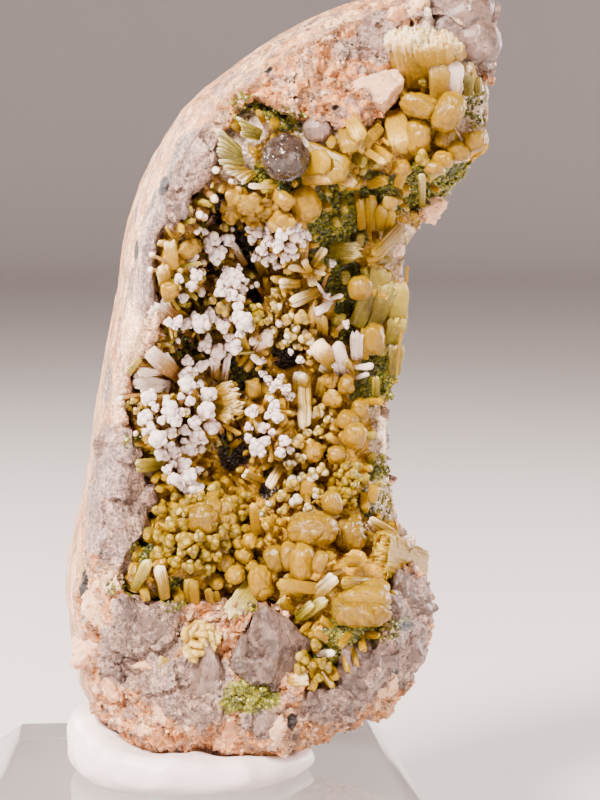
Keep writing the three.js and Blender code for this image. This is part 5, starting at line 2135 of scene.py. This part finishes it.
    def _between(self, samples: list[tuple[Vector, Vector]]) -> None:
        """Grows small crystals wherever the named ones leave room.

        Args:
            samples: Points and normals of the open crust.
        """
        grid: dict[tuple[int, ...], list[Vector]] = {}
        for middle in self.taken:
            grid.setdefault(self._cell(middle), []).append(middle)
        bare = [(self.front.under((x, y))[0], radius * 1.1) for x, y, radius in HOLES + ROCK]
        greens = [(self.front.under((x, y))[0], radius) for x, y, radius in DRUSE]
        shown = np.array(self.shown)
        for point, normal in samples:
            pixel = CAMERA.pixel_of(point)
            growth = min(ZONES, key=lambda zone: min(math.dist(pixel, heart) for heart in zone.hearts))
            if not self._has_room(grid, point, growth.spacing):
                continue
            if any((point - hole).length < radius for hole, radius in bare):
                continue
            if any((point - green).length < radius for green, radius in greens):
                if self.roll.random() < self.druse_share:
                    continue
            lean = Vector([self.roll.uniform(-0.5, 0.5) for _ in range(3)])
            axis = (normal + lean + Vector((0, -0.4, 0))).normalized()
            size = growth.size * self.roll.uniform(0.6, 1.4)
            length = growth.length * self.roll.uniform(0.5, 1.2)
            tip = point + axis * length
            if not self.front.holds(tip, size + 0.5):
                continue
            x, y = CAMERA.pixel_of(tip)
            near = np.hypot(shown[:, 0] - x, shown[:, 1] - y) < shown[:, 2] + 0.6 * size * PIXELS_PER_MM
            if np.any(near & (shown[:, 3] > tip.y - 0.5)):
                continue
            self._small_crystal(growth, point - axis * 1.6, tip, size)
            grid.setdefault(self._cell(point), []).append(point)

    def _small_crystal(self, growth: Growth, root: Vector, tip: Vector, size: float) -> None:
        """Adds one unnamed crystal of a zone.

        Args:
            growth: The zone's growth.
            root: Where it starts.
            tip: Where it ends.
            size: Its radius.
        """
        kind = self.roll.choices(list(growth.kinds), list(growth.kinds.values()))[0]
        tone = self.roll.uniform(0.1, 0.9)
        coat = self.roll.uniform(0, growth.coat)
        axis = tip - root
        turn = self.roll.uniform(0, math.tau)
        if kind is W:
            self._bead_on_stalk(kind, Head(tip, root, size * 1.1, coat), tone)
            return
        wide, deep, tips = (1.0, 0.7, (0.0, 0.7)) if kind is O else (0.8, 0.65, (-0.2, 0.8))
        columns = columns_along(axis, FORWARD, turn, (size * wide, size * deep, axis.length))
        self.pieces[kind].add(self.roll.choice(self.prism), columns, root, tone, coat, tips)

    def _cell(self, point: Vector) -> tuple[int, ...]:
        """Gives the box of the search grid that holds a point."""
        return tuple(int(math.floor(c / self.cell)) for c in point)

    def _has_room(self, grid: dict[tuple[int, ...], list[Vector]], point: Vector, spacing: float) -> bool:
        """Tells whether nothing on the grid is nearer than a spacing.

        Args:
            grid: The crystals so far, by their boxes.
            point: The place.
            spacing: The spacing.

        Returns:
            Whether there is room.
        """
        x, y, z = self._cell(point)
        for i, j, k in np.ndindex(3, 3, 3):
            for other in grid.get((x + i - 1, y + j - 1, z + k - 1), ()):
                if (other - point).length < spacing:
                    return False
        return True

    def _druse_grains(self) -> None:
        """Covers the green patches with tiny crystals."""
        druse = JoinedPiece("epidote_druse", "granite")
        ground = Surface(self.plain, self.stone)
        for x, y, radius in DRUSE:
            for _ in range(int(self.druse_count * radius * radius)):
                step = radius * 1.25 * math.sqrt(self.roll.random()) * PIXELS_PER_MM
                turn = self.roll.uniform(0, math.tau)
                point, normal = ground.under((x + step * math.cos(turn), y + step * math.sin(turn)))
                size = self.roll.uniform(0.11, 0.28)
                lean = Vector([self.roll.uniform(-0.7, 0.7) for _ in range(3)])
                columns = columns_along(normal + lean, FORWARD, turn, (size, size, size * 1.5))
                druse.add(self.roll.choice(self.grain), columns, point, self.roll.random(), 0.0)
        druse.build(EpidoteFinish().build(), 20, 0.0)


@dataclass(frozen=True)
class QuartzKnob:
    """The round smoky quartz crystal under the overhang."""

    radius: float = 2.62  # its radius
    facet: float = 0.85  # the width of the small faces all over it

    def build(self) -> None:
        """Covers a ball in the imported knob's place with small shallow faces."""
        low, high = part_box("quartz_knob")
        middle = (low + high) / (2 * MM)
        ball = ShapeShop().ball(6)
        real = ball.points * self.radius
        relief = Grains(self.facet, 77).facets(real, 0.02, 0.13) + Grains(2.4, 8).facets(real, 0.07, 0.1)
        relief += 0.06 * noise_at(real, 1.6, 4)
        knob = JoinedPiece("smoky_knob", "grey_quartz")
        shape = Shape(ball.points * (self.radius + relief)[:, None], ball.faces)
        knob.add(shape, np.identity(3), middle, 0.4, 0.0)
        finish = QuartzFinish("knob_quartz", "#1f1612", "#6f5a4d", 0.45, 0.04, 1.1, 0.4, 0.06, 0.22)
        knob.build(finish.build(), 16, 0.0, "quartz_knob")


@dataclass(frozen=True)
class QuartzRidge:
    """The large ridged quartz crystal of the foot."""

    voxel: float = 0.25  # the size of its faces
    apex: Pixel = (262, 610)  # the pixel where its ridge starts
    end: Pixel = (286, 690)  # the pixel where its ridge ends

    def build(self) -> None:
        """Gives the left face of the ridge small bumps and leaves its right face smooth."""
        ridge = copied_node("quartz_ridge", "smoky_ridge", self.voxel, 4)
        points = points_of(ridge)
        front = Surface(ridge)
        top, foot = (front.under(pixel)[0] for pixel in (self.apex, self.end))
        border = np.interp(points[:, 2], (foot.z, top.z), (foot.x, top.x))
        left = smoothstep(0.4, -0.4, points[:, 0] - border)
        crest = np.exp(-((points[:, 0] - border) ** 2) / 0.8)
        bumps = Grains(0.75, 12).facets(points, 0.1, 0.35) + Grains(2.6, 9).facets(points, 0.15, 0.2)
        smooth = 0.12 * noise_at(points, 3.0, 4) + 0.03 * noise_at(points * (1, 1, 0.2), 0.7, 6)
        push = bumps * left + smooth * (1 - left) + 0.45 * crest
        put_points(ridge, points + normals_of(ridge) * push[:, None])
        finish = QuartzFinish("ridge_quartz", "#4c3a31", "#a4887a", 0.18, 0.1, 1.5, 0.32, 0.4, 0.42)
        finish_piece(ridge, finish.build(), 24, "grey_quartz", "quartz_ridge")


@dataclass(frozen=True)
class FootSheaf:
    """The yellow sheaf of flat blades in the foot's small pocket."""

    blades: int = 16  # how many blades it has
    heart: Pixel = (200, 641)  # the pixel they spread from
    half_wide: float = 22.0  # how far they reach to each side, in pixels
    half_tall: float = 21.0  # how far they reach up and down

    def build(self, crust: CrystalCrust) -> None:
        """Grows blades outwards from the sheaf's heart.

        Args:
            crust: The crust, whose forms the sheaf shares.
        """
        piece = JoinedPiece("foot_sheaf")
        node = Surface(frame["nodes"]["zeolite_sheaf"], frame["nodes"]["granite_matrix"])
        roll = random.Random(8)
        heart, _ = node.under(self.heart)
        heart = heart + CAMERA.ray(self.heart) * 1.6
        for k in range(self.blades):
            turn = k * GOLDEN_TURN
            away = math.sqrt((k + 0.5) / self.blades)
            x = self.heart[0] + self.half_wide * away * math.cos(turn)
            y = self.heart[1] + self.half_tall * away * math.sin(turn)
            ray = CAMERA.ray((x, y))
            tip = node.under((x, y))[0] - ray * (0.6 + 0.8 * (1 - away))
            axis = tip - heart
            wide = roll.uniform(0.8, 1.25)
            sizes = (wide, wide * 0.45, axis.length * 1.1)
            columns = columns_along(axis, -ray, roll.uniform(-0.6, 0.6), sizes)
            shape = crust.rod.fibrous(sizes, 0.08, 0.5, roll.random())
            piece.add(shape, columns, heart, roll.random(), roll.uniform(0.1, 0.5))
        finish = ZeoliteFinish("sheaf_zeolite", "#a87c10", "#e6c05c", "#f4e4b6", 0.35, 0.18, 0.6, 0.15)
        piece.build(finish.build(), 40, 0.05, "zeolite_sheaf")


# Large grains of the break: the pixel, the width and the height.
QUARTZ_GRAINS = (
    (130, 614, 3, 3.1), (157, 628, 3.4, 5), (361, 671, 4.9, 4.4), (389, 665, 2.6, 2.8),
    (413, 650, 3.2, 3.4), (404, 594, 3.4, 3.4), (420, 606, 2.4, 3.2), (392, 612, 2.6, 2.6),
    (203, 687, 6.6, 4.4), (265, 722, 3.4, 2.6), (318, 702, 3, 2.4), (345, 708, 3.2, 2.2),
    (124, 640, 2.2, 2), (116, 656, 2.2, 2), (130, 662, 2.2, 2.2), (118, 674, 2.2, 2), (384, 441, 1.8, 2.4),
    (330, 655, 1.8, 1.8), (316, 126, 3.1, 2.6), (258, 158, 2.4, 2.4), (182, 212, 1.8, 2.2),
    (196, 220, 2, 2.2), (186, 228, 1.8, 1.8),
)
# Large smooth bodies of quartz: the pixel, the width, the height and the depth, the lean.
QUARTZ_CAPS = ((456, 27, 11.2, 5.6, 5.4, 38), (480, 42, 5.2, 5.4, 4.4, 20))
# Small round quartz on the crust: the pixel, the width, the height and the depth, the lean.
QUARTZ_BALLS = ((318, 130, 3.4, 3.2, 3.4, 20),)
FELDSPAR_GRAINS = (
    (378, 98, 4.6, 4.8), (227, 742, 5.4, 3.8), (276, 741, 4.4, 2.4), (98, 606, 3.2, 3.6),
    (90, 648, 3.2, 4.4), (104, 690, 3, 2.8), (147, 666, 1.6, 2.4), (162, 715, 2.6, 2), (431, 209, 2.6, 2.6),
    (402, 22, 3.8, 2.6), (416, 10, 3.4, 2.4), (196, 730, 3, 2), (388, 688, 2.4, 2.6), (112, 578, 1.6, 1.4),
)


@dataclass
class Chips:
    """Grains of feldspar and quartz that stand in the break with corners of their own."""

    stone: Piece  # the granite that the grains are set in
    rim: tuple[Pixel, Pixel] = ((366, 394), (440, 532))  # the right rim, across and down, in pixels
    rim_grains: int = 60  # how many small grains stand there
    rim_sizes: tuple[float, float] = (0.6, 1.5)  # the least and the greatest width of one
    large_grain: float = 3.5  # a grain of more square millimetres than this has finer faces

    def __post_init__(self) -> None:
        """Models the grain forms and prepares the surfaces."""
        shop = ShapeShop()
        self.forms = [shop.chip(60 + k, 0.12) for k in range(8)]
        self.small_forms = [shop.chip(70 + k, 0.24) for k in range(6)]
        self.ball = shop.ball(5).boxy(0.82)
        self.ground = Surface(self.stone)
        self.crust = Surface(bpy.data.objects["druse_floor"], self.stone)
        self.roll = random.Random(31)

    def build(self) -> None:
        """Sets the named grains and the small ones of the right rim, and dresses both kinds."""
        quartz = JoinedPiece("quartz_grains", "grey_quartz")
        feldspar = JoinedPiece("feldspar_grains", "granite")
        for x, y, wide, tall in QUARTZ_GRAINS:
            self._grain(quartz, (x, y), wide, tall, 0.2)
        for x, y, wide, tall, deep, lean in QUARTZ_CAPS:
            self._cap(quartz, self.ground.under((x, y))[0], (wide / 2, tall / 2, deep / 2), lean)
        for x, y, wide, tall, deep, lean in QUARTZ_BALLS:
            proud = self.crust.under((x, y))[0] - Vector((0, 0.4 * deep, 0))
            self._cap(quartz, proud, (wide / 2, tall / 2, deep / 2), lean)
        for x, y, wide, tall in FELDSPAR_GRAINS:
            self._grain(feldspar, (x, y), wide, tall, 0.12)
        for _ in range(self.rim_grains):
            spot = tuple(self.roll.uniform(*ends) for ends in self.rim)
            wide = self.roll.uniform(*self.rim_sizes)
            self._grain(self.roll.choice((quartz, quartz, feldspar)), spot, wide, wide, 0.5)
        finish = QuartzFinish("grain_quartz", "#45342c", "#92776a", 0.18, 0.13, veiled=0.5)
        quartz.build(finish.build(), 22, 0.05)
        feldspar.build(FeldsparFinish().build(), 22, 0.05)

    def _cap(self, piece: JoinedPiece, point: Vector, half: Triple, lean: float) -> None:
        """Sets one large smooth body with shallow shell-shaped hollows.

        Args:
            piece: The piece that takes it.
            point: Where its front meets what carries it.
            half: Half its width, height and depth.
            lean: How far it leans to the right, in degrees.
        """
        real = self.ball.points * (half[0], half[2], half[1])
        relief = Grains(4.2, 14).facets(real, 0.05, 0.08) + 0.04 * noise_at(real * (1, 1, 0.3), 1.2, 6)
        shape = Shape(self.ball.points * (1 + relief / half[2])[:, None], self.ball.faces)
        turn = math.radians(lean)
        columns = columns_along(
            Vector((-math.sin(turn), 0, math.cos(turn))), FORWARD, 0.0, (half[0], half[2], half[1])
        )
        piece.add(shape, columns, point + Vector((0, 0.45 * half[2], 0)), self.roll.random(), 0.0)

    def _grain(self, piece: JoinedPiece, pixel: Pixel, wide: float, tall: float, proud: float) -> None:
        """Sets one grain in the break.

        Args:
            piece: The piece that takes it.
            pixel: Where it shows.
            wide: Its width.
            tall: Its height.
            proud: How far it stands out, as a share of its size.
        """
        point, normal = self.ground.under(pixel)
        facing = (normal + Vector((0, -0.8, 0))).normalized()
        size = 0.5 * min(wide, tall)
        sizes = (wide * 0.6, tall * 0.6, size)
        spin = np.array(Matrix.Rotation(self.roll.uniform(0, math.tau), 3, "Z"))
        form = self.roll.choice(self.forms if wide * tall > self.large_grain else self.small_forms)
        turned = form.points @ spin.T
        relief = Grains(0.8, 5).facets(turned * sizes + self.roll.uniform(0, 50), 0.07, 0.3)
        shape = Shape(turned * (1 + relief / size)[:, None], form.faces)
        columns = columns_along(facing, Vector((0, 0, 1)), math.pi / 2, sizes)
        piece.add(shape, columns, point - facing * size * (0.8 - proud), self.roll.random(), 0.0)


def write_sizes() -> None:
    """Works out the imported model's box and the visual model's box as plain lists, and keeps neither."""
    boxes = {"cad": CAD_BOX, "visual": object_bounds()}
    {name: [list(low), list(high)] for name, (low, high) in boxes.items()}


def main() -> None:
    """Builds the room and the specimen, piece by piece."""
    logging.basicConfig(level=logging.INFO, format="%(name)s: %(message)s")
    CAMERA.build()
    Studio().build()
    ClearBlock().build()
    PuttyCup().build()
    stone = GraniteStone().build()
    crust = CrystalCrust(stone)
    crust.build()
    Chips(stone).build()
    QuartzKnob().build()
    QuartzRidge().build()
    FootSheaf().build(crust)
    write_sizes()


if __name__ == "__main__":
    main()
